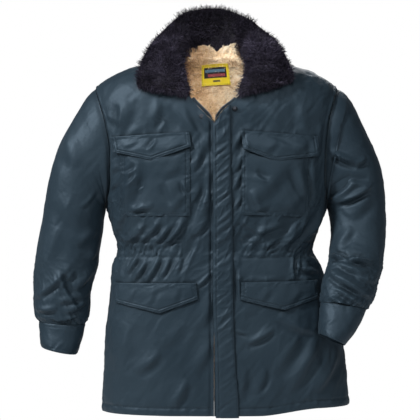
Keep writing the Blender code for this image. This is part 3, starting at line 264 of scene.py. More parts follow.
def read_route(at, lengths, field, period=None):
    """Values of a field of vectors at places along its route."""
    return np.stack([np.interp(at, lengths, field[:, k], period=period) for k in range(3)], axis=-1)


def by_side(function, x):
    """Values of a function of side and reach, each place on its own side."""
    return np.where(x < 0, function(-1, np.abs(x)), function(1, np.abs(x)))


def side_name(side):
    return "right" if side < 0 else "left"


def depth(face, z):
    """Half-depth of the body, at the front or at the back."""
    return read(BODY, "z", "front" if face < 0 else "back", np.minimum(z, YOKE_Z))


def scye_x(side, z):
    """How far the armhole seam lies from the middle."""
    return read(SCYE, "z", side_name(side), z)


def scye_y(face, z):
    """How far the armhole seam lies in front of or behind the shoulder line."""
    top = SCYE[-1].z
    share = np.abs(z - (ARMPIT_Z + top) / 2) / ((top - ARMPIT_Z) / 2)
    return SCYE_DEPTH[face] * np.clip(1 - share ** SCYE_POWER, 0, 1) ** (1 / SCYE_POWER)


def half_width(side, face, z):
    """Half-width of the section, widened above the armpit so that it meets the armhole."""
    z = np.minimum(z, YOKE_Z)
    inside = 1 - (scye_y(face, z) / depth(face, z)) ** BODY_POWER
    above = scye_x(side, z) / inside ** (1 / BODY_POWER)
    return np.where(z <= ARMPIT_Z, read(BODY, "z", side_name(side), z), above)


def section_y(side, face, reach, z):
    """The section's place in depth, by the distance from the middle."""
    share = np.clip(1 - (np.abs(reach) / half_width(side, face, z)) ** BODY_POWER, 0, 1)
    return face * depth(face, z) * share ** (1 / BODY_POWER)


def shoulder_bend(z, rise):
    """The share of the chest's depth that is left at a height above the yoke line."""
    return (1 - np.clip((z - YOKE_Z) / rise, 0, 1) ** SHOULDER_POWER) ** (1 / SHOULDER_POWER)


def skin_y(face, x, z):
    """The plain outer skin's place in depth, at places seen from the front."""
    low = by_side(lambda side, reach: section_y(side, face, reach, np.minimum(z, YOKE_Z)), x)
    bend = shoulder_bend(z, by_side(ridge_z, x) - YOKE_Z)
    return SHOULDER_Y + (low - SHOULDER_Y) * np.where(z > YOKE_Z, bend, 1)


def ridge_z(side, reach):
    """Height of the shoulder seam, carried on inside the neck so that the skin goes on."""
    tip = SCYE[-1]
    share = (reach - NECK_HALF) / (getattr(tip, side_name(side)) - NECK_HALF)
    outside = tip.z * share + SHOULDER_RISE * np.sin(math.pi * np.clip(share, 0, 1) ** 1.5)
    return np.where(share < 0, NECK_RISE * (1 - (reach / NECK_HALF) ** 2), outside)


def hang(p):
    """Lift the lower part of the wearer's left side, where the hem hangs higher."""
    fall = ease(0, 1, (HEM_LIFT_FROM_Z - p[..., 2]) / (HEM_LIFT_FROM_Z - HEM_Z))
    lifted = p.copy()
    lifted[..., 2] += HEM_LIFT * fall * ease(*HEM_LIFT_X, p[..., 0])
    return lifted


def spread(place_at, start, end, shares):
    """Places at shares of a row's length, measured on the cloth, and that length."""
    t = np.linspace(start, end, 241)
    length = lengths_along(place_at(t))
    return place_at(np.interp(shares * length[-1], length, t)), length[-1]


def level_row(side, face, z, shares):
    """A row of one height, from the centre to the side seam or the armhole."""
    wide = float(half_width(side, face, z))
    end = math.pi / 2 if z <= ARMPIT_Z else math.asin(float(scye_x(side, z) / wide) ** (BODY_POWER / 2))
    start = side * FRONT_EDGE_X + SEAM_GAP / 2 if face < 0 else 0.0
    begin = math.copysign(math.asin((abs(start) / wide) ** (BODY_POWER / 2)), start)
    deep = face * float(depth(face, z))

    def place_at(angle):
        reach = wide * signed_power(np.sin(angle), 2 / BODY_POWER)
        flat = np.clip(np.cos(angle), 0, 1) ** (2 / BODY_POWER)
        return np.stack([side * reach, deep * flat, np.full_like(reach, z)], axis=-1)

    return spread(place_at, begin, end, shares)


def turn_row(side, face, degrees, shares):
    """A row above the yoke line. On the back its turn shrinks inside the neck."""
    turn = math.radians(degrees)
    share_up = math.sin(turn) ** (2 / SHOULDER_POWER)

    def reach_at(edge):
        reach = edge(YOKE_Z)
        for _ in range(40):
            reach = edge(YOKE_Z + share_up * (ridge_z(side, reach) - YOKE_Z))
        return float(reach)

    def place_at(reach):
        chest = section_y(side, face, reach, YOKE_Z)
        here = np.full_like(reach, turn)
        if face > 0:
            inside = np.clip(1 - (reach / NECK_HALF) ** 2, 0, 1)
            neck_y = (NECK_BACK_Y - SHOULDER_Y) * np.sqrt(inside)
            here = turn * np.arccos((neck_y / (chest - SHOULDER_Y)) ** (SHOULDER_POWER / 2)) / (math.pi / 2)
        rise = np.sin(here) ** (2 / SHOULDER_POWER)
        flat = np.clip(np.cos(here), 0, 1) ** (2 / SHOULDER_POWER)
        z = YOKE_Z + rise * (ridge_z(side, reach) - YOKE_Z)
        return np.stack([side * reach, SHOULDER_Y + (chest - SHOULDER_Y) * flat, z], axis=-1)

    start = reach_at(lambda z: read(NECK_EDGE, "z", side_name(side), z)) if face < 0 else 0.0
    return spread(place_at, start, reach_at(lambda z: scye_x(side, z)), shares)


PANEL_COLUMNS = 125
PANEL_SHARES = np.linspace(0, 1, PANEL_COLUMNS)
LOW_ROWS = 181
ARMHOLE_ROWS = 60
TURN_ROWS = 44
scye_middle = (SCYE[-1].z + ARMPIT_Z) / 2
scye_half = (SCYE[-1].z - ARMPIT_Z) / 2
yoke_angle = math.acos(-((YOKE_Z - scye_middle) / scye_half) ** (SCYE_POWER / 2))
armhole_cosines = np.cos(np.linspace(0, yoke_angle, ARMHOLE_ROWS + 1)[1:])
armhole_steps = scye_middle - scye_half * signed_power(armhole_cosines, 2 / SCYE_POWER)
PANEL_LEVELS = list(np.linspace(HEM_Z, ARMPIT_Z, LOW_ROWS)) + list(armhole_steps)
PANEL_TURNS = list(np.linspace(0, 90, TURN_ROWS + 1)[1:])


def panel_grid(side, face):
    """Places of a half panel, row by row from the hem up, and each row's length."""
    rows = [level_row(side, face, z, PANEL_SHARES) for z in PANEL_LEVELS]
    rows += [turn_row(side, face, degrees, PANEL_SHARES) for degrees in PANEL_TURNS]
    return np.array([r[0] for r in rows]), np.array([r[1] for r in rows])


def grid_normals(grid, closed=False):
    """Unit normals of a grid of places, from its own rows and columns."""
    up = np.gradient(grid, axis=0)
    across = (np.roll(grid, -1, 1) - np.roll(grid, 1, 1)) if closed else np.gradient(grid, axis=1)
    normal = np.cross(across, up)
    return normal / np.maximum(np.linalg.norm(normal, axis=-1, keepdims=True), 1e-12)


def turned_to(normal, outward):
    """The normals, turned round where they point against the outward way."""
    return normal if np.mean(np.sum(normal * outward, axis=-1)) >= 0 else -normal


# Creases are given one by one from end to end, as seen from the front or from the back: a ridge
# with a valley along its lower side. Widths and heights are those of the ridge, and a height
# below 0 makes a valley of the ridge.
Crease = namedtuple("Crease", "x0 z0 x1 z1 width height")


def crease_height(set_creases, x, z):
    """How far a set of creases lifts the cloth at each place."""
    height = np.zeros_like(x)
    for crease in set_creases:
        along_x, along_z = crease.x1 - crease.x0, crease.z1 - crease.z0
        length = math.hypot(along_x, along_z)
        share = ((x - crease.x0) * along_x + (z - crease.z0) * along_z) / length ** 2
        bow = np.sin(math.pi * np.clip(share, 0, 1))
        away = ((x - crease.x0) * along_z - (z - crease.z0) * along_x) / length
        away = (away * math.copysign(1, along_x) - 0.05 * length * bow) / crease.width
        ridge = near(away, np.where(away < 0, 1, 0.65))
        valley = near(away - 1.3, 0.65)
        height += crease.height * bow ** 0.8 * (ridge - 0.75 * valley)
    return height


# A layer of folds: its height, how far it is drawn out along a tilted line, how far apart
# the folds lie across it, the line's tilt in degrees and the seed of its random values.
Folds = namedtuple("Folds", "height drawn fine tilt seed")


def crumple(points, folds, more=0):
    """A smooth random value at each place, between -1 and 1. more is added to the seed."""
    c, s = math.cos(math.radians(folds.tilt)), math.sin(math.radians(folds.tilt))
    drawn, fine, seed = folds.drawn, folds.fine, folds.seed + more
    flat = points.reshape(-1, 3)
    heights = []
    for x, y, z in flat:
        along, across = x * c + z * s, z * c - x * s
        place = Vector((along / drawn + seed, across / fine, y / fine))
        bend = noise.noise(place * 0.5 + Vector((7, seed, 0)))
        heights.append(noise.noise(place + Vector((0, 1.4 * bend, bend))))
    return np.clip(np.array(heights).reshape(points.shape[:-1]) * 1.7, -1, 1)


def soft_folds(points, folds, more=0):
    """Rounded hills and hollows."""
    return folds.height * crumple(points, folds, more)


def sharp_folds(points, folds, more=0):
    """Thin ridges between soft hollows, as crisp nylon creases."""
    return folds.height * (1 - np.abs(crumple(points, folds, more))) ** 4


FRONT_CREASES = table(
    Crease,
    (-0.196, -0.1, -0.205, -0.165, 0.018, 0.005),
    (0.1775, -0.438, 0.18, -0.505, 0.005, -0.005),
    (-0.0617, -0.384, -0.0184, -0.231, 0.011, -0.0075),
    (-0.056, -0.11, -0.022, -0.185, 0.011, -0.0048),
    (-0.131, -0.172, -0.113, -0.135, 0.007, -0.0042),
    (-0.226, -0.172, -0.215, -0.112, 0.009, -0.0048),
    (-0.07, -0.455, -0.04, -0.398, 0.008, -0.0048),
    (0.044, -0.235, 0.064, -0.19, 0.008, -0.005),
    (0.195, -0.395, 0.225, -0.345, 0.008, -0.005),
    (0.056, -0.42, 0.1, -0.375, 0.009, -0.005),
    (0.125, -0.42, 0.17, -0.365, 0.009, -0.0048),
    (-0.24, -0.135, -0.2, -0.155, 0.008, 0.003),
    (-0.232, -0.225, -0.214, -0.214, 0.006, 0.0034),
    (-0.236, -0.262, -0.212, -0.245, 0.007, 0.0034),
    (-0.236, -0.3, -0.214, -0.28, 0.007, 0.0034),
    (-0.052, -0.262, -0.03, -0.215, 0.008, 0.004),
    (-0.05, -0.33, -0.03, -0.29, 0.007, 0.0036),
    (0.04, -0.3, 0.054, -0.262, 0.006, 0.0036),
    (0.04, -0.345, 0.056, -0.31, 0.006, 0.0036),
    (0.232, -0.15, 0.214, -0.24, 0.008, 0.0042),
    (0.06, -0.1, 0.088, -0.16, 0.012, 0.0034),
    (-0.124, -0.1, -0.134, -0.162, 0.011, 0.0045),
    (-0.085, -0.112, -0.06, -0.168, 0.015, 0.004),
    (-0.03, -0.118, -0.016, -0.172, 0.01, 0.004),
    (-0.012, -0.18, -0.048, -0.235, 0.012, 0.004),
    (-0.014, -0.236, -0.047, -0.325, 0.014, 0.0055),
    (-0.01, -0.3, -0.042, -0.4, 0.01, 0.0045),
    (-0.059, -0.356, -0.124, -0.428, 0.008, 0.0065),
    (-0.087, -0.366, -0.152, -0.43, 0.007, 0.005),
    (-0.115, -0.362, -0.18, -0.426, 0.007, 0.005),
    (-0.15, -0.37, -0.202, -0.422, 0.008, 0.0045),
    (-0.205, -0.345, -0.225, -0.402, 0.01, 0.004),
    (-0.008, -0.352, -0.054, -0.405, 0.007, 0.0035),
    (-0.22, -0.44, -0.229, -0.488, 0.006, 0.004),
    (-0.168, -0.444, -0.194, -0.484, 0.006, 0.005),
    (-0.148, -0.45, -0.18, -0.5, 0.006, 0.0055),
    (-0.118, -0.44, -0.152, -0.5, 0.007, 0.0062),
    (-0.096, -0.444, -0.12, -0.493, 0.006, 0.0045),
    (-0.072, -0.44, -0.088, -0.49, 0.006, 0.0032),
    (-0.006, -0.476, -0.042, -0.512, 0.005, 0.0045),
    (-0.01, -0.52, -0.03, -0.6, 0.012, 0.0045),
    (-0.118, -0.65, -0.174, -0.698, 0.012, 0.0052),
    (-0.06, -0.712, -0.096, -0.77, 0.012, 0.0052),
    (-0.068, -0.585, -0.114, -0.64, 0.014, 0.0035),
    (-0.01, -0.62, -0.052, -0.705, 0.014, 0.0042),
    (-0.195, -0.59, -0.216, -0.7, 0.02, 0.0045),
    (0.062, -0.166, 0.038, -0.212, 0.006, 0.0042),
    (0.058, -0.232, 0.038, -0.262, 0.006, 0.0036),
    (0.105, -0.11, 0.15, -0.168, 0.016, 0.0042),
    (0.19, -0.11, 0.198, -0.178, 0.014, 0.0042),
    (0.216, -0.19, 0.222, -0.335, 0.01, 0.0055),
    (0.207, -0.346, 0.146, -0.427, 0.01, 0.0065),
    (0.238, -0.338, 0.178, -0.43, 0.012, 0.0055),
    (0.055, -0.363, 0.102, -0.393, 0.008, 0.0042),
    (0.152, -0.37, 0.06, -0.397, 0.008, 0.0045),
    (0.15, -0.398, 0.098, -0.426, 0.007, 0.004),
    (0.055, -0.468, 0.056, -0.548, 0.007, 0.0042),
    (0.181, -0.45, 0.176, -0.492, 0.006, 0.0045),
    (0.178, -0.466, 0.229, -0.482, 0.006, 0.0065),
    (0.198, -0.44, 0.236, -0.47, 0.007, 0.0045),
    (0.128, -0.6, 0.064, -0.633, 0.009, 0.0062),
    (0.044, -0.604, 0.072, -0.613, 0.004, 0.003),
    (0.137, -0.572, 0.222, -0.616, 0.012, 0.0055),
    (0.222, -0.63, 0.157, -0.748, 0.016, 0.006),
    (0.19, -0.598, 0.12, -0.702, 0.016, 0.0045),
    (0.27, -0.658, 0.214, -0.756, 0.014, 0.0052),
    (0.11, -0.688, 0.084, -0.742, 0.01, 0.0042),
    (0.062, -0.68, 0.05, -0.76, 0.012, 0.0035),
)
BACK_CREASES = table(
    Crease,
    (-0.2, -0.13, -0.15, -0.235, 0.018, 0.0055),
    (0.205, -0.13, 0.155, -0.23, 0.018, 0.0055),
    (-0.215, -0.225, -0.13, -0.33, 0.016, 0.006),
    (0.225, -0.225, 0.14, -0.325, 0.016, 0.006),
    (-0.205, -0.395, -0.07, -0.355, 0.013, 0.006),
    (0.208, -0.39, 0.08, -0.35, 0.013, 0.006),
    (-0.19, -0.345, -0.06, -0.39, 0.01, 0.0045),
    (0.19, -0.34, 0.05, -0.392, 0.01, 0.0045),
    (-0.16, -0.428, -0.19, -0.52, 0.009, 0.0055),
    (-0.1, -0.44, -0.12, -0.54, 0.009, 0.005),
    (-0.04, -0.44, -0.03, -0.52, 0.009, 0.0042),
    (0.045, -0.44, 0.06, -0.545, 0.009, 0.005),
    (0.11, -0.438, 0.14, -0.53, 0.009, 0.0055),
    (0.175, -0.44, 0.21, -0.515, 0.009, 0.005),
    (-0.12, -0.59, -0.17, -0.73, 0.018, 0.0055),
    (-0.02, -0.6, -0.04, -0.74, 0.02, 0.0045),
    (0.09, -0.58, 0.13, -0.74, 0.018, 0.0055),
    (0.19, -0.6, 0.235, -0.73, 0.018, 0.005),
)

# The waist tunnel between its two stitch lines, gathered by a cord inside it
TUNNEL_TOP_Z = -0.415
TUNNEL_LOW_Z = -0.447
GATHER_STEP = 0.0135
GATHER_HEIGHT = 0.0042
GATHER_LEAN = {-1: 0.45, 1: 0.80}
GATHER_FROM_X = {-1: 0.066, 1: 0.052}
GATHER_TO_X = {-1: 0.300, 1: 0.212}
WAIST_Z = (TUNNEL_TOP_Z + TUNNEL_LOW_Z) / 2
HEM_BAND = 0.017
SEAM_DIP = 0.0024
SEAM_DIP_WIDTH = 0.005
SEAM_RIDGE = 0.0016
DEEPEST = 0.0030
PANEL_SOFT = [Folds(0.0013, 0.13, 0.040, 60, 1.0), Folds(0.0008, 0.05, 0.015, 48, 9.0)]
PANEL_SHARP = [Folds(0.0026, 0.10, 0.034, 64, 17.0), Folds(0.0013, 0.045, 0.013, 40, 27.0)]
HEM_RIPPLE = Folds(0.0012, 0.012, 0.030, 0, 5.0)
SEAM_PUCKER = Folds(0.0011, 0.016, 0.010, 90, 12.0)
QUIET_SHARE = 0.25
BUSY_FROM_Z = (-0.54, -0.46)
BUSY_TO_Z = (-0.21, -0.15)
Groove = namedtuple("Groove", "width deep")
TUNNEL_GROOVE = Groove(0.0028, 0.0018)
HEM_GROOVE = Groove(0.0024, 0.0022)
HEM_ROLL = Groove(0.006, 0.0016)
PLACKET_SHADE_X = -0.0092
PLACKET_SHADE = Groove(0.0026, 0.0034)
SEAM_RIDGE_IN = 0.0060
SEAM_RIDGE_WIDTH = 0.0028
# A part of the left front under the waist where the cloth is pulled flat: x from and to,
# z from and to, and how much of each fold goes.
FLAT_PATCH = (0.050, 0.168, -0.494, -0.444)
FLAT_PATCH_LOSS = 0.85


def noise_at(a, b, seed):
    """A smooth random value at each pair of places."""
    pairs = zip(a.ravel(), np.broadcast_to(b, a.shape).ravel())
    return np.array([noise.noise(Vector((p, q, seed))) for p, q in pairs]).reshape(a.shape)


def sway_at(a, b, seed):
    """The same, spread out between -1 and 1."""
    return np.clip(noise_at(a, b, seed) * 1.7, -1, 1)


def waist_gathers(x, z, along):
    """Puckers of the tunnel: tight between its stitch lines and running out past them."""
    from_x = np.where(x < 0, GATHER_FROM_X[-1], GATHER_FROM_X[1])
    to_x = np.where(x < 0, GATHER_TO_X[-1], GATHER_TO_X[1])
    inside = ease(0, 0.010, np.abs(x) - from_x) * (1 - ease(0, 0.012, np.abs(x) - to_x))
    lean = np.where(x < 0, GATHER_LEAN[-1], GATHER_LEAN[1])
    place = (along - lean * (z - WAIST_Z)) / GATHER_STEP + 0.55 * sway_at(along * 45, z * 30, 3.1)
    tight = np.abs(np.sin(math.pi * place)) ** 0.7 - 0.62
    sway = 1.1 * sway_at(along * 16, z * 8, 6.2)
    sloped = (along - 2.0 * lean * (z - WAIST_Z)) / (GATHER_STEP * 3.1) + sway
    loose = np.abs(np.sin(math.pi * sloped)) ** 0.8 - 0.6
    strength = 0.75 + 0.6 * sway_at(along * 50, z * 18, 8.4)
    patchy = np.clip(0.30 + 1.0 * sway_at(along * 12, z * 7, 2.7), 0, 1)
    away = np.abs(z - WAIST_Z)
    height = np.clip(strength, 0.1, 1.3) * tight * np.exp(-(away / 0.016) ** 4)
    height = height + patchy * loose * near(away - 0.022, 0.020)
    return inside, inside * GATHER_HEIGHT * height


def groove(away, shape):
    """The dip of a stitch line, by how far away each place is."""
    return -shape.deep * near(away, shape.width)


def panel_lift(face, p, along, to_seam):
    """How far the cloth of a panel stands off its plain form at each place of its grid."""
    x, z = p[..., 0], p[..., 2]
    lift = crease_height(FRONT_CREASES if face < 0 else BACK_CREASES, x, z)
    busy = QUIET_SHARE + (1 - QUIET_SHARE) * ease(*BUSY_FROM_Z, z) * (1 - ease(*BUSY_TO_Z, z))
    for folds in PANEL_SOFT:
        lift = lift + soft_folds(p, folds, face)
    for folds in PANEL_SHARP:
        lift = lift + busy * sharp_folds(p, folds, face)
    inside, gathers = waist_gathers(x, z, along)
    lift = lift + gathers
    if face < 0:
        flat_x, flat_x_end, flat_z, flat_z_end = FLAT_PATCH
        flat = (ease(flat_x, flat_x + 0.008, x) * (1 - ease(flat_x_end - 0.008, flat_x_end, x))
                * ease(flat_z, flat_z + 0.010, z) * (1 - ease(flat_z_end - 0.006, flat_z_end, z)))
        lift = lift * (1 - FLAT_PATCH_LOSS * flat)
        lift = lift + groove(x - PLACKET_SHADE_X, PLACKET_SHADE)
    for at in (TUNNEL_TOP_Z, TUNNEL_LOW_Z):
        lift = lift + inside * groove(z - at, TUNNEL_GROOVE)
    hem_line = HEM_Z + HEM_BAND
    ripple = soft_folds(p, HEM_RIPPLE) * near(z - hem_line, 0.012)
    lift = lift + groove(z - hem_line, HEM_GROOVE) + ripple
    lift = lift * ease(-0.004, 0.022, to_seam)
    pucker = soft_folds(p, SEAM_PUCKER) * near(to_seam, 0.012)
    lift = lift - SEAM_DIP * near(to_seam, SEAM_DIP_WIDTH) + pucker
    lift = lift + SEAM_RIDGE * near(to_seam - SEAM_RIDGE_IN, SEAM_RIDGE_WIDTH)
    lift = lift - HEM_ROLL.deep * (1 - ease(0.0, HEM_ROLL.width, z - HEM_Z))
    return np.where(lift < 0, -DEEPEST * np.tanh(-lift / DEEPEST), lift)


def feed(tree, made, **inputs):
    """Set or link the named inputs of a node. A name such as _1 is an input's number."""
    for name, value in inputs.items():
        socket = made.inputs[int(name[1:])] if name[0] == "_" else made.inputs[name.replace("_", " ")]
        if isinstance(value, bpy.types.NodeSocket):
            tree.links.new(value, socket)
        else:
            socket.default_value = value
    return made


def node(tree, kind, settings=None, **inputs):
    """Add a node, with its settings and its inputs."""
    made = tree.nodes.new(kind)
    for name, value in (settings or {}).items():
        setattr(made, name, value)
    return feed(tree, made, **inputs)


def blank_material(name):
    """A new material, its tree, its shader and the node of its texture places."""
    made = bpy.data.materials.new(name)
    made.use_nodes = True
    tree = made.node_tree
    return made, tree, tree.nodes["Principled BSDF"], node(tree, "ShaderNodeTexCoord")


def texture(tree, kind, place, settings=None, **inputs):
    """The value of a texture at its places."""
    return node(tree, kind, settings, Vector=place, **inputs).outputs["Fac"]


def mixed(tree, kind, share, first, second):
    """Two colours in one, blended by a share."""
    return node(tree, "ShaderNodeMixRGB", {"blend_type": kind}, Fac=share, Color1=first,
                Color2=second).outputs["Color"]


def scaled(tree, colour, scale):
    """A colour made brighter or darker."""
    return node(tree, "ShaderNodeVectorMath", {"operation": "SCALE"}, _0=colour,
                Scale=scale).outputs["Vector"]


def bumped(tree, height, strength, distance, **below):
    """Normals raised by a height, over those of another bump or none."""
    return node(tree, "ShaderNodeBump", Strength=strength, Distance=distance, Height=height,
                **below).outputs["Normal"]


def ranged(tree, value, **ends):
    """A value moved from one range to another."""
    return node(tree, "ShaderNodeMapRange", Value=value, **ends).outputs["Result"]


def ramp(tree, factor, *stops):
    """A colour ramp from (place, colour) stops."""
    made = node(tree, "ShaderNodeValToRGB", Fac=factor)
    bands = made.color_ramp.elements
    for i, (place, colour) in enumerate(stops):
        band = bands[i] if i < 2 else bands.new(place)
        band.position = place
        band.color = (*colour, 1)
    return made.outputs["Color"]


def nylon(name, colour, light):
    """Satin nylon: a fine diagonal weave, soft crumpling, and painted shade that darkens its colour in
    seams, creases and hollows.
    """
    made, tree, shader, place = blank_material(name)
    solid, flat = place.outputs["Object"], place.outputs["UV"]
    drift = texture(tree, "ShaderNodeTexNoise", solid, Scale=7.0, Detail=5.0)
    weave = texture(tree, "ShaderNodeTexWave", flat, {"bands_direction": "DIAGONAL"}, Scale=520.0,
                    Distortion=1.2, Detail=2.0)
    fleck = texture(tree, "ShaderNodeTexNoise", flat, Scale=900.0, Detail=2.0)
    threads = mixed(tree, "MULTIPLY", 0.20, ramp(tree, drift, (0.30, colour), (0.72, light)), fleck)
    # Painted shade: ambient occlusion darkens the base colour wherever nearby cloth closes in, as in seams,
    # creases, under flaps and beside the placket.
    painted_occlusion = node(tree, "ShaderNodeAmbientOcclusion", {"samples": 6}, Distance=0.016).outputs["AO"]
    painted_shade = ranged(tree, painted_occlusion, _1=0.55, _2=0.96, _3=0.30, _4=1.0)
    soft = texture(tree, "ShaderNodeTexNoise", solid, Scale=26.0, Detail=4.0, Roughness=0.5, Distortion=0.8)
    small = texture(tree, "ShaderNodeTexNoise", solid, Scale=140.0, Detail=4.0)
    first = bumped(tree, soft, 0.30, 0.0014)
    second = bumped(tree, small, 0.45, 0.0010, Normal=first)
    third = bumped(tree, weave, 0.30, 0.00012, Normal=second)
    feed(tree, shader, Base_Color=scaled(tree, threads, painted_shade), Normal=third,
         Roughness=ranged(tree, drift, _3=0.47, _4=0.58), Specular_IOR_Level=0.44,
         Specular_Tint=(0.60, 0.80, 1.0, 1), Sheen_Weight=0.06, Sheen_Roughness=0.45,
         Sheen_Tint=(0.62, 0.78, 0.95, 1))
    return made


PILE_SHADED_X = -0.075
PILE_LIT_X = 0.035


def pile(name, shaded_tones, lit_tones, bump):
    """Curly pile: tight locks, each in three tones, with painted light and shade: the shaded tones, darker
    and warmer, lie on the wearer's right and the lit tones on the left.
    """
    made, tree, shader, place = blank_material(name)
    solid = place.outputs["Object"]
    cloud = texture(tree, "ShaderNodeTexNoise", solid, Scale=26.0, Detail=3.0)
    locks = texture(tree, "ShaderNodeTexNoise", solid, Scale=150.0, Detail=4.0, Distortion=1.6)
    both = mixed(tree, "MIX", 0.55, cloud, locks)
    stops = (0.36, 0.50, 0.64)
    # Painted light and shade across the lining: the shaded tones on the wearer's right blend into the lit
    # tones on the left.
    across = node(tree, "ShaderNodeSeparateXYZ", Vector=solid).outputs["X"]
    tone = mixed(tree, "MIX", ranged(tree, across, _1=PILE_SHADED_X, _2=PILE_LIT_X),
                 ramp(tree, both, *zip(stops, shaded_tones)), ramp(tree, both, *zip(stops, lit_tones)))
    feed(tree, shader, Base_Color=tone, Normal=bumped(tree, locks, 0.8, bump), Roughness=0.95,
         Sheen_Weight=0.5, Sheen_Roughness=0.5)
    return made


SHELL = nylon("slate_satin_nylon", (0.0172, 0.0318, 0.0455), (0.0270, 0.0455, 0.0620))
# The first three tones are the cream pile painted in shade, and the last three are the same pile painted
# lit.
INSIDE_PILE = pile("cream_pile", ((0.46, 0.23, 0.08), (0.72, 0.42, 0.18), (0.90, 0.66, 0.38)),
                   ((0.72, 0.50, 0.28), (0.93, 0.76, 0.52), (0.98, 0.92, 0.80)), 0.004)


def strip(faces, a, b):
    """Fill between two lines of (share, index) pairs by stepping along both."""
    i = j = 0
    while i < len(a) - 1 or j < len(b) - 1:
        if i < len(a) - 1 and (j == len(b) - 1 or a[i + 1][0] <= b[j + 1][0]):
            faces.append((a[i][1], a[i + 1][1], b[j][1]))
            i += 1
        else:
            faces.append((a[i][1], b[j + 1][1], b[j][1]))
            j += 1


def cloth(name, outer, inner, flat_u, flat_v, materials, closed=False):
    """A closed wall of cloth from a fine outer grid and a coarse inner one.

    flat_u and flat_v are the outer places on the flat cloth, in metres. The inner skin
    takes the second material.
    """
    rows, columns = outer.shape[:2]
    low_rows, low_columns = inner.shape[:2]
    points = np.concatenate([outer.reshape(-1, 3), inner.reshape(-1, 3)])
    first = rows * columns

    def quads(r, c, start):
        i, j = np.meshgrid(np.arange(r - 1), np.arange(c if closed else c - 1), indexing="ij")
        after = (j + 1) % c
        return np.stack([start + i * c + j, start + i * c + after, start + (i + 1) * c + after,
                         start + (i + 1) * c + j], axis=-1).reshape(-1, 4)

    faces = [tuple(f) for f in quads(rows, columns, 0)]
    inner_quads = quads(low_rows, low_columns, first)
    inside_from = len(faces)
    faces += [tuple(f) for f in inner_quads]
    inside_to = len(faces)

    def line(r, c, start, row=None, column=None):
        if row is not None:
            places = [(k / (c if closed else c - 1), start + row * c + k) for k in range(c)]
            return places + [(1.0, start + row * c)] if closed else places
        return [(k / (r - 1), start + k * c + column) for k in range(r)]

    strip(faces, line(rows, columns, 0, row=0), line(low_rows, low_columns, first, row=0))
    strip(faces, line(rows, columns, 0, row=rows - 1), line(low_rows, low_columns, first, row=low_rows - 1))
    if not closed:
        for column, low_column in ((0, 0), (columns - 1, low_columns - 1)):
            strip(faces, line(rows, columns, 0, column=column),
                  line(low_rows, low_columns, first, column=low_column))
    mesh = add_mesh(name, points, faces)
    flat = mesh.uv_layers.new(name="flat_cloth")
    u = np.concatenate([flat_u.ravel(), np.resize(flat_u[::4, ::4], first)[:low_rows * low_columns]])
    v = np.concatenate([flat_v.ravel(), np.resize(flat_v[::4, ::4], first)[:low_rows * low_columns]])
    corner = np.empty(len(mesh.loops), int)
    mesh.loops.foreach_get("vertex_index", corner)
    flat.data.foreach_set("uv", np.stack([u[corner], v[corner]], axis=-1).ravel())
    kinds = np.zeros(len(mesh.polygons), int)
    kinds[inside_from:inside_to] = 1
    mesh.polygons.foreach_set("material_index", kinds)
    for material in materials:
        mesh.materials.append(material)
    work = bmesh.new()
    work.from_mesh(mesh)
    bmesh.ops.recalc_face_normals(work, faces=work.faces)
    work.to_mesh(mesh)
    work.free()
    mesh.shade_smooth()
    mesh.set_sharp_from_angle(angle=math.radians(55))
    piece = add_object(name, mesh)
    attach(piece, "root")
    return piece


def grown(name, carrier, tree, settings):
    """A plain mesh of what a tree makes on a carrier."""
    maker = carrier.modifiers.new(name, "NODES")
    maker.node_group = tree
    for item in tree.interface.items_tree:
        if item.in_out == "INPUT" and item.name in settings:
            maker[item.identifier] = settings[item.name]
    depsgraph = bpy.context.evaluated_depsgraph_get()
    made = bpy.data.meshes.new_from_object(carrier.evaluated_get(depsgraph), depsgraph=depsgraph)
    carrier.modifiers.remove(maker)
    made.name = name
    piece = add_object(name, made)
    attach(piece, "root")
    return piece


STITCH_PITCH = 0.0042
STITCH_LENGTH = 0.0031
STITCH_WIDE = 0.0010
STITCH_TALL = 0.0004
thread = nylon("thread", (0.060, 0.100, 0.135), (0.085, 0.130, 0.165))

half_long, half_wide = STITCH_LENGTH / 2, STITCH_WIDE / 2
stitch_points = [(-half_long, 0, 0), (half_long, 0, 0), (0, -half_wide, 0), (0, half_wide, 0),
                 (0, 0, STITCH_TALL), (0, 0, -STITCH_TALL)]
stitch_faces = [(0, 2, 4), (2, 1, 4), (1, 3, 4), (3, 0, 4), (2, 0, 5), (1, 2, 5), (3, 1, 5), (0, 3, 5)]
stitch = add_object("stitch", add_mesh("stitch", stitch_points, stitch_faces))
stitch.data.shade_smooth()


def row_tree(name, shape, finish):
    """A tree that sets one shape at each place, turned along and up as the place says."""
    tree = bpy.data.node_groups.new(name, "GeometryNodeTree")
    tree.is_modifier = True
    tree.interface.new_socket("Places", in_out="INPUT", socket_type="NodeSocketGeometry")
    tree.interface.new_socket("Size", in_out="INPUT", socket_type="NodeSocketFloat").default_value = 1.0
    tree.interface.new_socket("Row", in_out="OUTPUT", socket_type="NodeSocketGeometry")
    given = node(tree, "NodeGroupInput")
    along_way = node(tree, "GeometryNodeInputNamedAttribute", {"data_type": "FLOAT_VECTOR"}, Name="along")
    up_way = node(tree, "GeometryNodeInputNamedAttribute", {"data_type": "FLOAT_VECTOR"}, Name="up")
    turned = node(tree, "FunctionNodeAxesToRotation", {"primary_axis": "X", "secondary_axis": "Z"},
                  Primary_Axis=along_way.outputs["Attribute"], Secondary_Axis=up_way.outputs["Attribute"])
    source = node(tree, "GeometryNodeObjectInfo", Object=shape)
    placed = node(tree, "GeometryNodeInstanceOnPoints", Points=given.outputs["Places"],
                  Instance=source.outputs["Geometry"], Rotation=turned.outputs["Rotation"],
                  Scale=given.outputs["Size"])
    real = node(tree, "GeometryNodeRealizeInstances", Geometry=placed.outputs["Instances"])
    finished = node(tree, "GeometryNodeSetMaterial", Geometry=real.outputs["Geometry"], Material=finish)
    node(tree, "NodeGroupOutput", Row=finished.outputs["Geometry"])
    return tree


